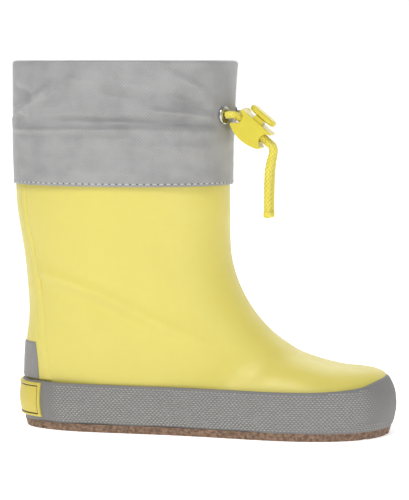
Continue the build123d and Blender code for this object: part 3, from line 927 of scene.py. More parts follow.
@dataclass
class Drawcord:
    """Two braided strands from the eyelets through the lock, hanging at its end.

    Places are in millimetres. A lead runs from its eyelet to the lock, and a tail hangs from the joint.
    """

    wardrobe: Wardrobe
    diameter: float = 3.8 * MM
    strand_gap: float = 3.9
    outer_lead: tuple[Point, ...] = ((14.9, -13.35, 157.05), (17.6, -13.9, 157.6), (20.2, -11.9, 156.8))
    inner_lead: tuple[Point, ...] = (
        (14.9, 13.35, 157.05), (19.3, 13.6, 157.6), (22.4, 6.6, 158.8), (20.6, -1.6, 158.0),
    )
    into_lock: Pair = (-5.0, -8.0)
    lock_centre: Point = (27.4, -9.0, 150.4)
    lock_slope: float = 40.4
    pivot: float = 11.0
    joint_gap: float = 0.45
    tail_out: float = 1.9
    # forward, up, share of the spread between the tails
    tail_hang: tuple[Point, ...] = (
        (1.9, -3.9, 0.0), (0.1, -11.0, 1.0), (-0.4, -21.0, 1.0), (-0.45, -33.4, 1.0),
    )
    tail_spread: Pair = (0.45, 0.15)
    bend_start: Pair = (0.6, -0.5)
    bend_end: Pair = (2.0, -3.2)
    plaits: int = 6
    plait_pitch: float = 2.3 * MM
    plait_depth: float = 0.15
    plait_round: float = 0.7
    plait_dip: float = 0.4
    around: int = 32
    step: float = 0.25 * MM
    spring_foot: float = -6.35
    spring_height: float = 2.8
    spring_radius: float = 1.5
    spring_wire: float = 0.2
    spring_turns: float = 2.0
    spring_steps: int = 72
    spring_around: int = 12
    spring_keep: float = 0.28

    def on_lock(self, along: float, side: Side) -> Point:
        """A point along the lock's axis on one strand's line, millimetres."""
        slope = math.radians(self.lock_slope)
        x, y, z = self.lock_centre
        across = side.value * self.strand_gap / 2
        return (x + along * math.cos(slope), y + across, z - along * math.sin(slope))

    def route(self, side: Side) -> list[Point]:
        """Control points of a strand, millimetres."""
        outer = side is Side.OUTER
        lead = list(self.outer_lead if outer else self.inner_lead)
        lead.append(self.on_lock(self.into_lock[0 if outer else 1], side))
        start = self.pivot + self.joint_gap
        x, y, z = self.on_lock(start, side)
        hang = []
        ahead, across = self.tail_spread
        for forward, up, share in self.tail_hang:
            lean = side.value * share
            hang.append((x + forward + ahead * lean, y + across * lean, z + up))
        return lead + [self.on_lock(self.pivot, side), self.on_lock(start + self.tail_out, side)] + hang

    def line(self, side: Side) -> np.ndarray:
        """Even points along a strand's NURBS spline, metres."""
        curve = bpy.data.curves.new("strand_line", "CURVE")
        curve.dimensions = "3D"
        spline = curve.splines.new("NURBS")
        points = self.route(side)
        spline.points.add(len(points) - 1)
        for target, (x, y, z) in zip(spline.points, points):
            target.co = (x * MM, y * MM, z * MM, 1.0)
        spline.order_u = 3
        spline.use_endpoint_u = True
        spline.resolution_u = 24
        holder = bpy.data.objects.new("strand_line", curve)
        bpy.context.scene.collection.objects.link(holder)
        graph = bpy.context.evaluated_depsgraph_get()
        mesh = bpy.data.meshes.new_from_object(holder.evaluated_get(graph))
        path = np.array([vertex.co[:] for vertex in mesh.vertices], float)
        bpy.data.objects.remove(holder)
        reached = distances(path)
        return along_path(np.arange(0, reached[-1], self.step), reached, path)

    def weave(self, turn: np.ndarray, travel: float) -> np.ndarray:
        """How high the braid stands at each place round the cord, 0 between the plaits to 1 on top.

        Args:
            turn: place round the cord, in plaits.
            travel: place along the cord, in plaits.

        Returns:
            The heights.
        """
        one, two = turn + travel, turn - travel
        bump_one, bump_two = np.sin(math.pi * (one % 1)), np.sin(math.pi * (two % 1))
        dip = self.plait_dip
        crown_one = bump_one**self.plait_round * (1 - dip + dip * bump_two)
        crown_two = bump_two**self.plait_round * (1 - dip + dip * bump_one)
        return np.where((np.floor(one) + np.floor(two)) % 2 == 0, crown_one, crown_two)

    def strand(self, side: Side) -> tuple[bpy.types.Object, np.ndarray]:
        """Make a strand's braided tube.

        Args:
            side: which strand.

        Returns:
            The piece and the line it follows.
        """
        path = self.line(side)
        tangents = unit(np.gradient(path, axis=0))
        normal = np.cross(tangents[0], (0, 1, 0))
        rings = []
        crowns = []
        angles = turns(self.around)
        turn = angles * self.plaits / (2 * math.pi)
        cosine, sine = np.cos(angles)[:, None], np.sin(angles)[:, None]
        for index, (centre, tangent) in enumerate(zip(path, tangents)):
            normal = normal - tangent * np.dot(normal, tangent)
            normal /= np.linalg.norm(normal)
            binormal = np.cross(tangent, normal)
            crown = self.weave(turn, index * self.step / self.plait_pitch)
            radius = self.diameter / 2 * (1 - self.plait_depth + self.plait_depth * crown)
            rings.append(centre + radius[:, None] * (cosine * normal + sine * binormal))
            crowns.append(crown)
        piece = tube_of(f"cord_strand_{side.name.lower()}", np.array(rings))
        marks = piece.data.attributes.new("crown", "FLOAT", "POINT")
        marks.data.foreach_set("value", np.concatenate(crowns))
        self.wardrobe.dress(piece, Slot.CORD)
        return piece, path

    def build(self, frame: dict) -> None:
        x, _, z = self.on_lock(self.pivot, Side.OUTER)
        ends = [
            ((x + ahead) * MM, self.lock_centre[1] * MM, (z + up) * MM)
            for ahead, up in (self.bend_start, self.bend_end)
        ]
        for side in Side:
            piece, path = self.strand(side)
            word = f"{side.name.lower()}_side"
            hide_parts(f"cord_lead_{word}", f"cord_tail_{word}")
            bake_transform(piece)
        for node, slot in (
            ("cord_tip_outer_side", Slot.TIP),
            ("cord_tip_inner_side", Slot.TIP),
            ("drawcord_loop", Slot.CORD),
            ("lock_body", Slot.LOCK),
            ("lock_plunger", Slot.LOCK),
        ):
            self.wardrobe.dress(frame["nodes"][node], slot)
        self.spring()

    def spring(self) -> bpy.types.Object:
        """Make the coil under the button and attach it to the lock.

        Returns:
            The spring.
        """
        slope = math.radians(self.lock_slope)
        up = np.array((math.sin(slope), 0.0, math.cos(slope)))
        along = np.array((math.cos(slope), 0.0, -math.sin(slope)))
        across = np.array((0.0, 1.0, 0.0))
        foot = np.array(self.lock_centre) + up * self.spring_foot
        share = np.linspace(0.0, 1.0, self.spring_steps)
        angle = share * self.spring_turns * 2 * math.pi
        outward = np.cos(angle)[:, None] * along + np.sin(angle)[:, None] * across
        height = self.spring_wire + share * (self.spring_height - 2 * self.spring_wire)
        path = foot + outward * self.spring_radius + height[:, None] * up
        around = turns(self.spring_around)
        ring = np.cos(around)[None, :, None] * outward[:, None] + np.sin(around)[None, :, None] * up
        piece = tube_of("lock_spring_coil", (path[:, None] + ring * self.spring_wire) * MM)
        self.wardrobe.dress(piece, Slot.SPRING)
        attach(piece, "lock")
        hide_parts("lock_spring")
        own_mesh(piece)
        return piece


# ---------------------------------------------------------------- upper
@dataclass
class Upper:
    """The moulded rubber of the boot: shaft, foot and backstay. Sizes without MM are millimetres."""

    wardrobe: Wardrobe
    around: int = 192
    along: int = 170
    wall: float = 1.2 * MM
    # the skin stops inside the foxing
    hem: float = 19.0
    hem_depth: float = 3.0
    hem_narrowing: float = 0.12
    # how the sections find the CAD's surface
    heel_share: float = 0.25
    lowest: float = 10 * MM
    probe: float = 8 * MM
    probe_length: float = 14 * MM
    calm: int = 110
    calm_again: int = 10
    cover: float = 1.2 * MM
    # the shaft drawn in
    slim: float = 0.8
    slim_from: Pair = (42, 62)
    slim_middle: float = 39
    slim_half: float = 50
    backstay_half: float = 22.5
    backstay_heights: Pair = (24.4, 131.5)
    backstay_grid: tuple[int, int] = (150, 151)
    backstay_wall: float = 0.8 * MM
    backstay_rise: float = 0.7
    backstay_sunk: float = 0.3
    backstay_spread: float = 0.7
    backstay_calm: int = 6
    # the line pressed into the backstay along its edge: depth, distance from the edge, width
    backstay_line: Point = (0.35, 2.6, 0.5)
    # x, z and height of the crease over the ankle
    ridge: tuple[Point, ...] = (
        (-80.0, 79.0, 0.4), (-73.7, 78.2, 1.0), (-45.9, 70.3, 1.3), (-10.6, 53.4, 0.9), (10.0, 44.0, 0.2),
    )
    ridge_width: float = 3.2
    ridge_sides: Pair = (14, 26)
    # the hollow under the crease: share of its height, drop, width
    hollow: Point = (0.6, 6.0, 4.0)
    # the faint unevenness of the shaft: height, wave in z, wave in x
    unevenness: Point = (0.125, 9.0, 21.0)
    uneven_from: Pair = (40, 70)
    # back or bottom x and z, front or top x and z, half width, sideways shift, fullness
    rows: tuple[tuple[float, ...], ...] = (
        (-96.0, 131.8, 14.5, 131.8, 37.3, 0.0, 2.15),
        (-94.6, 113.0, 14.6, 114.0, 36.8, 0.0, 2.15),
        (-91.7, 93.0, 14.9, 97.5, 35.8, 0.0, 2.15),
        (-89.4, 73.0, 16.0, 85.0, 34.6, 0.0, 2.15),
        (-88.6, 54.0, 19.0, 74.0, 32.8, 0.0, 2.15),
        (-89.8, 36.0, 23.3, 64.8, 31.0, -0.3, 2.2),
        (-90.6, 16.0, 30.0, 55.0, 29.0, -0.6, 2.25),
        (-84.0, -10.0, 37.6, 47.0, 27.8, -0.8, 2.3),
        (-48.0, -24.0, 45.0, 42.0, 29.0, -1.0, 2.3),
        (-8.0, -20.0, 53.0, 38.0, 31.5, -1.0, 2.3),
        (30.0, -14.0, 62.0, 35.0, 33.2, -1.0, 2.35),
        (56.0, -9.0, 72.0, 33.4, 32.6, -0.6, 2.35),
        (72.0, -6.0, 80.5, 33.1, 28.6, 0.4, 2.35),
        (82.5, -3.0, 87.0, 32.2, 22.0, 1.3, 2.3),
        (89.0, 1.0, 91.4, 30.4, 14.0, 2.0, 2.25),
        (92.6, 8.0, 93.6, 27.4, 5.5, 2.4, 2.1),
    )

    def skin(self, frame: dict) -> tuple[np.ndarray, np.ndarray]:
        """The outer surface on a fan of sections, drawn onto the CAD's surface and smoothed.

        Args:
            frame: the loaded frame.

        Returns:
            Points in metres and outward directions, rows by columns by 3.
        """
        grid = self.fan()
        normals = grid_normals(grid, True)
        middle = grid.mean(axis=1, keepdims=True)
        normals *= np.sign((normals * (grid - middle)).sum(axis=2, keepdims=True))
        target = tree_of([frame["nodes"]["upper_shell"], frame["nodes"]["backstay"]])
        moves = np.zeros(grid.shape[:2])
        known = np.zeros(grid.shape[:2])
        for i in range(self.along):
            for j in range(self.around):
                if grid[i, j, 2] < self.lowest:
                    continue
                normal = Vector(normals[i, j])
                start = Vector(grid[i, j]) + normal * self.probe
                hit = target.ray_cast(start, -normal, self.probe_length)[3]
                if hit is not None:
                    moves[i, j] = self.probe - hit
                    known[i, j] = 1.0
        calm = self.calmed(moves, known, self.calm)
        floor = np.where(known > 0, moves - self.cover, calm)
        moves = self.calmed(np.maximum(calm, floor), np.ones_like(known), self.calm_again)
        return grid + normals * moves[:, :, None], normals

    def fan(self) -> np.ndarray:
        """Oval sections from the top of the shaft to the toe, metres, rows by columns by 3."""
        rows = np.array(self.rows)
        back = distances(rows[:, :2])
        front = distances(rows[:, 2:4])
        stations = front + self.heel_share * back
        fine = through(stations, rows, np.linspace(0, stations[-1], self.along))
        angles = turns(self.around)
        grid = np.zeros((self.along, self.around, 3))
        for index, (bx, bz, fx, fz, half, shift, power) in enumerate(fine):
            reach = rounded(np.cos(angles), 2 / power)
            grid[index, :, 0] = (bx + fx) / 2 + reach * (fx - bx) / 2
            grid[index, :, 1] = shift + rounded(np.sin(angles), 2 / power) * half
            grid[index, :, 2] = (bz + fz) / 2 + reach * (fz - bz) / 2
        return grid * MM

    @staticmethod
    def calmed(moves: np.ndarray, known: np.ndarray, times: int) -> np.ndarray:
        """Spread known values over a grid that closes along its columns, and smooth them.

        Args:
            moves: the values.
            known: 1 where a value is known, else 0.
            times: rounds of smoothing.

        Returns:
            The smoothed values.
        """
        for _ in range(times):
            held, share = moves * known, known
            held = np.vstack([held[:1], held, held[-1:]])
            share = np.vstack([share[:1], share, share[-1:]])
            total = moves * known + held[:-2] + held[2:]
            weight = known + share[:-2] + share[2:]
            for shift in (1, -1):
                total += np.roll(moves * known, shift, 1)
                weight += np.roll(known, shift, 1)
            moves = np.where(weight > 0, total / np.maximum(weight, 1e-9), 0)
            known = np.minimum(1.0, weight)
        return moves

    def slimmed(self, grid: np.ndarray) -> np.ndarray:
        """Draw the back and front of the shaft in a little, towards its middle line."""
        x, z = grid[..., 0] / MM, grid[..., 2] / MM
        ends = np.clip((x + self.slim_middle) / self.slim_half, -1, 1)
        share = self.slim * rise(z, *self.slim_from) * ends
        out = grid.copy()
        out[..., 0] -= share * MM
        return out

    def relief(self, grid: np.ndarray) -> np.ndarray:
        """Soft creases of the moulded ankle, metres outwards at each point."""
        x, y, z = grid[:, :, 0] / MM, grid[:, :, 1] / MM, grid[:, :, 2] / MM
        points = np.array(self.ridge)
        line_z = np.interp(x, points[:, 0], points[:, 1])
        height = np.interp(x, points[:, 0], points[:, 2], left=0.0, right=0.0)
        gap = z - line_z
        share, drop, width = self.hollow
        crest = np.exp(-((gap / self.ridge_width) ** 2)) - share * np.exp(-(((gap + drop) / width) ** 2))
        fold = height * rise(np.abs(y), *self.ridge_sides) * crest
        depth, wave_z, wave_x = self.unevenness
        wave = depth * np.sin(z / wave_z + x / wave_x) * rise(z, *self.uneven_from)
        return (fold + wave) * MM

    def build(self, frame: dict) -> None:
        """Make the upper and the backstay."""
        grid, normals = self.skin(frame)
        grid = self.slimmed(grid + normals * self.relief(grid)[:, :, None])
        low = rise(-grid[:, :, 2] / MM, -self.hem, -self.hem + self.hem_depth)
        grid[:, :, 1] *= 1 - self.hem_narrowing * low
        grid[:, :, 2] = np.maximum(grid[:, :, 2], (self.hem - self.hem_depth) * MM)
        tip = grid[-1:].mean(axis=1, keepdims=True).repeat(self.around, axis=1)
        shell = np.concatenate([grid, tip])
        piece = tidy_normals(sheet_of("rubber_upper", shell, False, True))
        thicken(piece, self.wall)
        self.wardrobe.dress(piece, Slot.YELLOW_RUBBER)
        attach(piece, "boot")
        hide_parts("upper_shell")
        self.backstay(frame)
        LOG.info("upper %d by %d", self.along, self.around)

    def backstay(self, frame: dict) -> None:
        """Make the strip up the back of the shaft, with rolled edges."""
        rows, columns = self.backstay_grid
        heights = np.linspace(*self.backstay_heights, rows)
        halves = np.linspace(-1, 1, columns)
        target = tree_of([frame["nodes"]["backstay"]])
        grid = np.zeros((rows, columns, 3))
        for i, height in enumerate(heights):
            for j, across in enumerate(halves):
                y = across * self.backstay_half
                start = Vector((BEHIND, y * MM, height * MM))
                place = target.ray_cast(start, Vector((1, 0, 0)))[0]
                grid[i, j] = place if place is not None else grid[i - 1, j]
        for _ in range(self.backstay_calm):
            grid[1:-1, :, 0] = (grid[:-2, :, 0] + 2 * grid[1:-1, :, 0] + grid[2:, :, 0]) / 4
        inward = (1 - np.abs(halves)) * self.backstay_half
        depth, place, width = self.backstay_line
        edge = rise(inward, 0.0, 1.0) - depth * np.exp(-(((inward - place) / width) ** 2))
        outward = np.stack([-np.ones(columns), halves * self.backstay_spread, np.zeros(columns)], axis=1)
        outward = unit(outward)
        lift = (edge * (self.backstay_rise + self.backstay_sunk) - self.backstay_sunk) * MM
        grid = self.slimmed(grid + outward[None] * lift[None, :, None])
        piece = sheet_of("rubber_backstay", grid, False, False)
        if piece.data.polygons[0].normal.x > 0:
            piece.data.flip_normals()
        thicken(piece, self.backstay_wall)
        self.wardrobe.dress(piece, Slot.YELLOW_RUBBER)
        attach(piece, "boot")
        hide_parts("backstay")


# ---------------------------------------------------------------- sole unit
@dataclass
class SoleUnit:
    """Grey foxing with its studs, gum outsole and heel label. Sizes are millimetres."""

    wardrobe: Wardrobe
    outline: tuple[Pair, ...] = (
        (-93.2, 0.0), (-88.2, -16.2), (-71.0, -27.0), (-42.0, -30.3), (-10.0, -31.2), (20.0, -34.5),
        (46.0, -37.5), (69.0, -35.0), (87.0, -25.0), (96.0, -9.0), (97.7, 4.0), (92.5, 19.0),
        (76.0, 31.0), (48.0, 35.0), (16.0, 32.4), (-15.0, 30.2), (-45.0, 29.6), (-72.0, 26.6),
        (-88.2, 16.0),
    )
    # height and how far the face stands in there
    face: tuple[Pair, ...] = ((4.0, 2.4), (8.5, 0.8), (14.0, 0.0), (19.0, 0.3), (25.0, 1.3), (33.0, 3.4))
    # x and height of the top edge
    edge: tuple[Pair, ...] = (
        (-110, 24.2), (-70, 24.2), (-30, 24.1), (10, 24.1), (45, 24.1), (66, 24.4),
        (80, 25.2), (90, 26.4), (96, 28.2), (104, 30),
    )
    samples: int = 560
    dense: int = 4000
    bottom: float = 4.0
    levels: int = 16
    lip: float = 0.7
    # the hidden side of the band: height (below the edge where negative), distance in from the lip
    inside: tuple[Pair, ...] = ((-0.25, 2.6), (-2.5, 3.6), (12.0, 3.6))
    bottom_wall: float = 4.2
    toe_lean: float = 1.9
    toe_from: Pair = (76, 94)
    toe_above: float = 19
    toe_height: float = 9.5
    stud_pitch: float = 2.0
    stud_row: float = 1.0
    stud_lowest: float = 5.4
    stud_highest: float = 31
    stud_margin: float = 1.1
    stud_half: Pair = (0.98, 0.52)
    stud_proud: float = 0.4
    stud_top: float = 0.3
    # where the studs shrink towards the toe, and by how much below and above the low rows
    stud_fade: Pair = (84, 93)
    stud_fade_share: Pair = (0.3, 0.85)
    stud_low_rows: float = 8
    stud_past_label: Pair = (0.5, 12)
    half_step: float = 0.4
    stud_smallest: float = 0.12
    stud_unevenness: float = 0.12
    seed: int = 5
    heel_middle: float = -40
    label_front: float = -77.0
    label_z: Pair = (6.0, 23.4)
    label_grid: tuple[int, int] = (56, 150)
    label_rise: float = 0.9
    border_rise: float = 0.45
    groove_depth: float = 0.25
    label_wall: float = 0.9

    def curve(self) -> tuple[np.ndarray, np.ndarray, np.ndarray]:
        """Even points round the foot with their outward directions, millimetres.

        Returns:
            Points, outward unit vectors and distances round the foot.
        """
        corners = np.array(self.outline)
        count = len(corners)
        lap = 3
        looped = np.vstack([corners[-lap:], corners, corners[: lap + 1]])
        steps = distances(looped)
        dense = through(steps, looped, np.linspace(steps[lap], steps[lap + count], self.dense))
        reached = distances(dense)
        even = np.arange(self.samples) * reached[-1] / self.samples
        points = along_path(even, reached, dense)
        ahead = unit(np.roll(points, -1, axis=0) - np.roll(points, 1, axis=0))
        outward = np.stack([ahead[:, 1], -ahead[:, 0]], axis=1)
        if (outward * (points - points.mean(axis=0))).sum() < 0:
            outward = -outward
        return points, outward, even

    def inset(self, heights: np.ndarray) -> np.ndarray:
        """How far the rounded face stands in at each height, millimetres."""
        known = np.array(self.face)
        return through(known[:, 0], known[:, 1], heights)[:, 0]

    def toe_in(self, x: np.ndarray, heights: np.ndarray) -> np.ndarray:
        """How much further the face leans in at the top of the toe, millimetres."""
        share = np.clip((heights - self.toe_above) / self.toe_height, 0, 2) ** 2
        return self.toe_lean * rise(x, *self.toe_from) * share

    def top_at(self, x: np.ndarray) -> np.ndarray:
        """Height of the foxing's top edge at x, millimetres."""
        known = np.array(self.edge)
        return through(known[:, 0], known[:, 1], x)[:, 0]

    def build(self, frame: dict) -> None:
        """Make the foxing, its studs and the label, and dress the outsole."""
        points, outward, even = self.curve()
        self.foxing(points, outward)
        self.studs(points, outward, even)
        self.label(points, outward)
        self.wardrobe.dress(frame["nodes"]["outsole"], Slot.GUM)
        self.wardrobe.dress(frame["nodes"]["midsole_filler"], Slot.FILLER)

    def foxing(self, points: np.ndarray, outward: np.ndarray) -> None:
        """Make the rubber band as a closed loop of section rows."""
        tops = self.top_at(points[:, 0])
        loop = []
        for share in np.linspace(0, 1, self.levels):
            heights = self.bottom + (tops - self.lip - self.bottom) * share
            loop.append((heights, self.inset(heights) + self.toe_in(points[:, 0], heights)))
        lip = self.inset(tops) + self.toe_in(points[:, 0], tops)
        for angle in (30, 60, 90):
            turn = math.radians(angle)
            heights = tops - self.lip + self.lip * math.sin(turn)
            loop.append((heights, lip + self.lip * (1 - math.cos(turn))))
        for height, inward in self.inside:
            heights = tops + height if height < 0 else np.full_like(tops, height)
            loop.append((heights, lip + inward))
        loop.append((np.full_like(tops, self.bottom), self.inset(tops) + self.bottom_wall))
        grid = np.zeros((len(loop), len(points), 3))
        for row, (heights, inset) in enumerate(loop):
            grid[row, :, :2] = points - outward * inset[:, None]
            grid[row, :, 2] = heights
        piece = tidy_normals(sheet_of("foxing", grid * MM, True, True))
        self.wardrobe.dress(piece, Slot.GREY_RUBBER)
        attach(piece, "boot")
        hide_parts("foxing_band")

    def studs(self, points: np.ndarray, outward: np.ndarray, even: np.ndarray) -> None:
        """Set the rhombus studs out on a staggered lattice over the foxing's face."""
        total = even[-1] + (even[1] - even[0])
        count = int(round(total / self.stud_pitch))
        places, facing, along, sizes = [], [], [], []
        level = 0
        height = self.stud_lowest
        while height < self.stud_highest:
            offset = 0.5 * (level % 2)
            at = (np.arange(count) + offset) * total / count
            x = np.interp(at, even, points[:, 0], period=total)
            y = np.interp(at, even, points[:, 1], period=total)
            nx = np.interp(at, even, outward[:, 0], period=total)
            ny = np.interp(at, even, outward[:, 1], period=total)
            step = self.half_step
            inset = self.inset(np.array([height - step, height, height + step]))
            tilt = (inset[2] - inset[0]) / (2 * step)
            inset = inset[1] + self.toe_in(x, np.full_like(x, height))
            room = self.top_at(x) - self.stud_margin - height
            share = self.stud_fade_share[1 if height > self.stud_low_rows else 0]
            low, high = self.stud_past_label
            fade = rise(x, self.label_front + low, self.label_front + high)
            fade *= 1 - rise(x, *self.stud_fade) * share
            size = np.where(room > 0, np.clip(fade, 0, 1), 0)
            for k in np.nonzero(size > self.stud_smallest)[0]:
                places.append((x[k] - nx[k] * inset[k], y[k] - ny[k] * inset[k], height))
                normal = np.array((nx[k], ny[k], tilt))
                facing.append(normal / np.linalg.norm(normal))
                along.append((-ny[k], nx[k], 0.0))
                sizes.append(size[k])
            level += 1
            height += self.stud_row
        # painted highlight: the studs get a lighter copy of the foxing's grey rubber
        finish = Rubber("stud_rubber_lit", tint(162, 161, 160), 0.55, 0.00004, 0.05, 0.0).make()
        settings = {"Vertices": 4, "Radius Top": self.stud_top, "Radius Bottom": 1.0, "Depth": 1.0}
        scatter = Scatter("stud_lattice", "GeometryNodeMeshCone", settings, finish)
        length, width = self.stud_half
        inputs = {"Length": length * MM, "Width": width * MM, "Proud": self.stud_proud * MM}
        inputs |= {"Unevenness": self.stud_unevenness, "Seed": self.seed}
        at = np.array(places) * MM
        ways = np.array(facing), np.array(along)
        piece = scatter.run("foxing_studs", at, *ways, np.array(sizes), inputs)
        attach(piece, "boot")
        LOG.info("foxing studs %d", len(places))

    def label(self, points: np.ndarray, outward: np.ndarray) -> None:
        """Make the blank heel label with its raised border."""
        order = np.argsort(np.arctan2(points[:, 1], self.heel_middle - points[:, 0]))
        wanted = [k for k in order if points[k, 0] < self.label_front]
        rows, columns = self.label_grid
        reached = distances(points[wanted])
        even = np.linspace(0, reached[-1], columns)
        base = along_path(even, reached, points[wanted])
        out = along_path(even, reached, outward[wanted])
        low, high = self.label_z
        heights = np.linspace(low, high, rows)
        inset = self.inset(heights)
        edge_z = np.minimum(heights - low, high - heights)[:, None]
        edge_s = np.minimum(even, even[-1] - even)[None, :]
        edge = np.minimum(edge_z, edge_s)
        border = rise(edge, 0.0, 0.5) * (1 - rise(edge, 1.3, 1.8))
        groove = rise(edge, 1.35, 1.6) * (1 - rise(edge, 1.95, 2.2))
        lift = self.label_rise * rise(edge, -0.1, 0.5) + self.border_rise * border
        lift -= self.groove_depth * groove
        grid = np.zeros((rows, columns, 3))
        grid[:, :, :2] = base[None] + out[None] * (lift - inset[:, None])[:, :, None]
        grid[:, :, 2] = heights[:, None]
        piece = sheet_of("label", grid * MM, False, False)
        middle = piece.data.polygons[len(piece.data.polygons) // 2]
        if middle.normal.x > 0:
            piece.data.flip_normals()
        # painted shade: the groove's mask darkens the label's moulded groove
        piece.data.attributes.new("inlay", "FLOAT", "POINT").data.foreach_set("value", groove.ravel())
        thicken(piece, self.label_wall * MM)
        self.wardrobe.dress(piece, Slot.YELLOW_TRIM)
        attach(piece, "boot")
        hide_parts("heel_label")


# ---------------------------------------------------------------- cuff
@dataclass(frozen=True)
class Crease:
    """One soft fold of the nylon, seen from a side: ends, width and height in millimetres."""

    start: Pair
    end: Pair
    width: float
    height: float

    def lift(self, x: np.ndarray, z: np.ndarray) -> np.ndarray:
        """How far the fold lifts the cloth at each point, millimetres."""
        (x0, z0), (x1, z1) = self.start, self.end
        dx, dz = x1 - x0, z1 - z0
        span = math.hypot(dx, dz)
        t = ((x - x0) * dx + (z - z0) * dz) / span**2
        off = ((x - x0) * dz - (z - z0) * dx) / span
        ends = rise(t, -0.12, 0.18) * (1 - rise(t, 0.8, 1.12))
        return self.height * ends * np.exp(-((off / self.width) ** 2))


@dataclass
class Cuff:
    """The gathered nylon cuff, folded over its rim, with its hem stitches and eyelets.

    Sizes are millimetres.
    """

    wardrobe: Wardrobe
    # height, back x, front x, half width
    rows: tuple[tuple[float, float, float, float], ...] = (
        (122.5, -96.0, 15.3, 38.2),
        (140.0, -96.4, 15.6, 38.5),
        (160.0, -96.5, 16.2, 38.6),
        (184.0, -96.3, 17.8, 38.5),
    )
    fullness: float = 2.2
    half_length: float = 56
    half_width: float = 38
    around: int = 420
    upward: int = 96
    heights: Pair = (122.6, 182.4)
    flat_height: float = 78
    gap: float = 5.6
    cloth: float = 0.5
    rim_rise: float = 1.5
    rim_power: float = 0.8
    rim_step: int = 20
    rim_travel: float = 1.0
    turned_travel: float = 1.7
    turned_in: float = 0.1
    # how far down the turned cloth reaches inside, row by row
    turned: tuple[float, ...] = (1.5, 3.0, 5.0, 7.0)
    fold_gain: float = 2.9
    fold_limits: Pair = (-2.0, 3.4)
    fold_sides: Pair = (10, 30)
    swell: float = 1.5
    swell_at: Pair = (151.5, 15)
    gather_at: Pair = (158, 13)
    # how much the rumples grow: everywhere and at the drawcord, then in front and at the sides
    rumple_gain: Pair = (1.1, 1.3)
    rumple_share: Pair = (0.35, 0.65)
    # the far side's folds are the near ones, mirrored about mid_length and stretched a little
    mid_length: float = -41
    far_stretch: Pair = (0.985, 2.6)
    ease: float = 0.05
    held_hem: Pair = (123, 128)
    # y and z of an eyelet, and where the cloth round it starts and stops lying flat
    eyelet: Pair = (13.0, 157.0)
    eyelet_flat: Pair = (4.5, 8.5)
    eyelet_share: Pair = (0.15, 0.85)
    front_from: float = 5
    far_away: float = 50
    # size across and up, and height, of the cloth's big and small rumples
    rumples: tuple[Point, ...] = ((26, 12, 0.6), (9, 5, 0.3))
    stitch_pitch: float = 3.4
    stitch_row: int = 2
    seed: int = 3
    creases: tuple[Crease, ...] = (
        Crease((-97, 149.8), (-30, 149.8), 1.5, 0.8),
        Crease((-40, 150.4), (14, 148.6), 2.2, 0.5),
        Crease((-70, 154.6), (10, 152.8), 2.4, -0.8),
        Crease((-97, 149.6), (-84, 160.5), 1.4, 1.2),
        Crease((-84, 160.5), (-66, 172.0), 2.2, 0.7),
        Crease((-97, 163.5), (-80, 158.5), 1.6, 0.8),
        Crease((-92, 171.0), (-78, 164.0), 2.0, -0.6),
        Crease((-60, 176.0), (-20, 171.0), 3.0, 0.7),
        Crease((-45, 168.0), (-5, 164.5), 3.0, -0.5),
        Crease((-10, 178.0), (6, 169.0), 2.4, 0.6),
        Crease((-8, 166.0), (12, 158.5), 2.2, -0.7),
        Crease((-20, 160.0), (12, 156.0), 1.6, 0.5),
        Crease((-50, 143.5), (10, 141.0), 2.6, 0.45),
        Crease((-75, 139.5), (-30, 136.5), 3.0, -0.35),
        Crease((-35, 136.0), (8, 133.0), 2.6, -0.4),
        Crease((-60, 130.5), (-25, 128.5), 2.4, 0.35),
    )

    def profile(self, heights: np.ndarray) -> np.ndarray:
        """Back x, front x and half width of the cuff at each height, millimetres."""
        known = np.array(self.rows)
        return through(known[:, 0], known[:, 1:], heights)

    def outer(self, heights: np.ndarray) -> tuple[np.ndarray, np.ndarray]:
        """The creased outer layer.

        Args:
            heights: its rows' heights, millimetres.

        Returns:
            Points and outward directions, rows by columns by 3.
        """
        angles = turns(self.around)
        cosine, sine = np.cos(angles), np.sin(angles)
        reach = rounded(cosine, 2 / self.fullness)
        wide = rounded(sine, 2 / self.fullness)
        sizes = self.profile(heights)
        back, front, half = sizes[:, 0:1], sizes[:, 1:2], sizes[:, 2:3]
        grid = np.zeros((len(heights), self.around, 3))
        grid[:, :, 0] = (back + front) / 2 + (front - back) / 2 * reach[None]
        grid[:, :, 1] = half * wide[None]
        grid[:, :, 2] = heights[:, None]
        slope = 2 - 2 / self.fullness
        forward = rounded(cosine, slope) / self.half_length
        sideways = rounded(sine, slope) / self.half_width
        outward = unit(np.stack([forward, sideways, np.zeros(self.around)], axis=1))
        return grid, np.broadcast_to(outward[None], grid.shape)

    def rumpled(self, grid: np.ndarray) -> np.ndarray:
        """Uneven lift of the loose cloth at each point, millimetres."""
        flat = np.zeros(grid.shape[:2])
        for i, j in np.ndindex(*flat.shape):
            x, y, z = grid[i, j]
            for across, up, height in self.rumples:
                flat[i, j] += height * noise.noise(Vector((x / across, y / across, z / up)))
        return flat

    def lift(self, grid: np.ndarray) -> np.ndarray:
        """How far folds move each point outwards, millimetres."""
        x, y, z = grid[:, :, 0], grid[:, :, 1], grid[:, :, 2]
        near, far = rise(-y, *self.fold_sides), rise(y, *self.fold_sides)
        scale, shift = self.far_stretch
        total = np.zeros(x.shape)
        for crease in self.creases:
            total += crease.lift(x, z) * near * self.fold_gain
            total += crease.lift(2 * self.mid_length - x, z * scale + shift) * far * self.fold_gain
        sides = near + far
        middle, spread = self.gather_at
        gather = np.exp(-(((z - middle) / spread) ** 2))
        always, gathered = self.rumple_gain
        front, side = self.rumple_share
        total += self.rumpled(grid) * (always + gathered * gather) * (front + side * sides)
        middle, spread = self.swell_at
        total += self.swell * np.exp(-(((z - middle) / spread) ** 2)) * sides
        eyelet_y, eyelet_z = self.eyelet
        away = np.hypot(np.abs(y) - eyelet_y, z - eyelet_z)
        away = np.minimum(away + np.where(x < self.front_from, self.far_away, 0), self.far_away)
        least, more = self.eyelet_share
        loose = least + more * rise(away, *self.eyelet_flat)
        return total * rise(z, *self.held_hem) * loose - self.ease

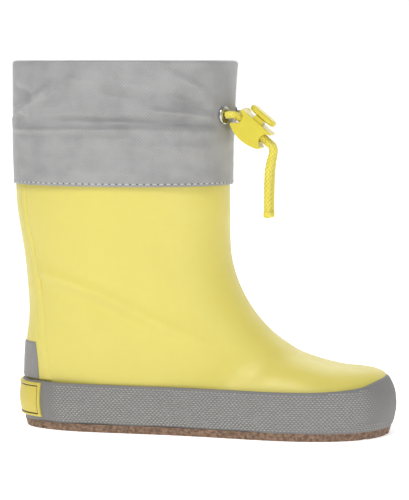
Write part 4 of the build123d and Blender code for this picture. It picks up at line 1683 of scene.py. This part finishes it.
    def build(self, frame: dict) -> None:
        """Make the cuff, its stitches and dress its hidden parts."""
        heights = np.linspace(*self.heights, self.upward)
        grid, outward = self.outer(heights)
        lift = self.lift(grid)
        surface = grid + outward * np.clip(lift, *self.fold_limits)[:, :, None]
        loop = [surface[i] for i in range(self.upward)]
        uv_v = list(heights)
        rim = surface[-1]
        travel = heights[-1]
        for angle in range(self.rim_step, 181, self.rim_step):
            turn = math.radians(angle)
            inward = self.gap / 2 * (1 - math.cos(turn))
            ring = rim - outward[0] * inward
            ring[:, 2] = heights[-1] + self.rim_rise * math.sin(turn) ** self.rim_power
            loop.append(ring)
            travel += self.rim_travel
            uv_v.append(travel)
        for drop in self.turned:
            ring = rim - outward[0] * (self.gap + self.turned_in)
            ring[:, 2] = heights[-1] - drop
            loop.append(ring)
            travel += self.turned_travel
            uv_v.append(travel)
        grid = np.array(loop)
        lengths = distances(np.vstack([grid[0], grid[0][:1]]))
        uv = np.zeros((len(loop), self.around + 1, 2))
        uv[:, :, 0] = lengths[None] * MM
        uv[:, :, 1] = np.array(uv_v)[:, None] * MM
        piece = sheet_of("nylon_cuff", grid * MM, False, True, uv)
        if piece.data.polygons[0].normal.dot(Vector(outward[0, 0])) < 0:
            piece.data.flip_normals()
        thicken(piece, self.cloth * MM)
        self.wardrobe.dress(piece, Slot.NYLON)
        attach(piece, "boot")
        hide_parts("cuff_outer")
        self.stitches(surface, outward)
        for node, slot in (
            ("cuff_inner", Slot.LINING),
            ("eyelet_outer_side", Slot.METAL),
            ("eyelet_inner_side", Slot.METAL),
            ("eyelet_washer_outer_side", Slot.METAL),
            ("eyelet_washer_inner_side", Slot.METAL),
        ):
            self.wardrobe.dress(frame["nodes"][node], slot)

    def stitches(self, surface: np.ndarray, outward: np.ndarray) -> None:
        """Sew the hem: light stitches, and dark blobs between them that are painted shade for the needle
        holes.
        """
        ring = surface[self.stitch_row]
        closed = np.vstack([ring, ring[:1]])
        closed_out = np.vstack([outward[0], outward[0][:1]])
        lengths = distances(closed)
        count = int(round(lengths[-1] / self.stitch_pitch))
        thread = Rubber("hem_thread", tint(196, 196, 198), 0.7, 0.00003, 0.1, 0.0).make()
        # painted shade: a dark grey for the shade inside the needle holes
        hole = Rubber("needle_hole_shade", tint(96, 96, 98), 0.8, 0.00003, 0.1, 0.0).make()
        settings = {"Segments": 8, "Rings": 6, "Radius": 1.0}
        for name, offset, finish, sizes in (
            ("hem_stitches", 0.0, thread, {"Length": 1.15 * MM, "Width": 0.34 * MM, "Proud": 0.28 * MM}),
            ("hem_hole_shades", 0.5, hole, {"Length": 0.5 * MM, "Width": 0.42 * MM, "Proud": 0.12 * MM}),
        ):
            at = (np.arange(count) + offset) * lengths[-1] / count
            places = along_path(at, lengths, closed)
            facing = along_path(at, lengths, closed_out)
            along = np.cross(facing, (0, 0, 1))
            scatter = Scatter(name, "GeometryNodeMeshUVSphere", settings, finish)
            sizes = {**sizes, "Unevenness": 0.15, "Seed": self.seed}
            piece = scatter.run(name, places * MM, facing, along, np.ones(count), sizes)
            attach(piece, "boot")


# ---------------------------------------------------------------- heel strip and linings
@dataclass
class Trim:
    """The heel's reflective strip and everything inside the boot."""

    wardrobe: Wardrobe
    half: float = 19.9
    heights: Pair = (24.8, 43.4)
    grid: tuple[int, int] = (48, 90)
    wall: float = 1.0
    # the step from one point to the next where the strip's CAD ends, metres
    onward: Point = (0.0006, 0.00045, 0.0)
    edge_drop: float = 0.5
    border_rise: float = 0.1

    def build(self, frame: dict) -> None:
        """Make the strip and dress the inner layers."""
        rows, columns = self.grid
        target = tree_of([frame["nodes"]["heel_strip"]])
        grid = np.zeros((rows, columns, 3))
        levels = np.linspace(*self.heights, rows)
        across = np.linspace(-self.half, self.half, columns)
        for i, z in enumerate(levels):
            for j, y in enumerate(across):
                place = target.ray_cast(Vector((BEHIND, y * MM, z * MM)), Vector((1, 0, 0)))[0]
                grid[i, j] = place if place is not None else grid[i, j - 1] + self.onward
        edge = np.minimum(
            np.minimum(levels - levels[0], levels[-1] - levels)[:, None],
            np.minimum(across - across[0], across[-1] - across)[None, :],
        )
        border = rise(edge, 1.1, 1.3) * (1 - rise(edge, 1.6, 1.8))
        drop = self.edge_drop * (1 - rise(edge, 0.0, 0.7))
        grid[:, :, 0] += (drop - self.border_rise * border) * MM
        uv = np.zeros((rows, columns, 2))
        uv[:, :, 0] = distances(grid[rows // 2])[None]
        uv[:, :, 1] = levels[:, None] * MM
        piece = sheet_of("heel_tape", grid, False, False, uv)
        if piece.data.polygons[rows // 2 * (columns - 1) + columns // 2].normal.x > 0:
            piece.data.flip_normals()
        thicken(piece, self.wall * MM)
        self.wardrobe.dress(piece, Slot.REFLECTIVE)
        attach(piece, "boot")
        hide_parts("heel_strip")
        for node, slot in (
            ("lining", Slot.LINING),
            ("toe_puff", Slot.BOARD),
            ("heel_counter", Slot.BOARD),
            ("insole_board", Slot.BOARD),
            ("footbed", Slot.FOOTBED),
            ("footbed_cover", Slot.LINING),
        ):
            self.wardrobe.dress(frame["nodes"][node], slot)
        LOG.info("heel tape and linings")


def corners(box: tuple[Vector, Vector]) -> list[list[float]]:
    """A box as plain lists."""
    return [list(corner) for corner in box]


def main() -> None:
    """Build every sub-assembly in order."""
    logging.basicConfig(level=logging.INFO, format="%(name)s: %(message)s")
    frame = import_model()
    wardrobe = Wardrobe()
    Studio().build()
    Drawcord(wardrobe).build(frame)
    Upper(wardrobe).build(frame)
    SoleUnit(wardrobe).build(frame)
    Cuff(wardrobe).build(frame)
    Trim(wardrobe).build(frame)


if __name__ == "__main__":
    main()
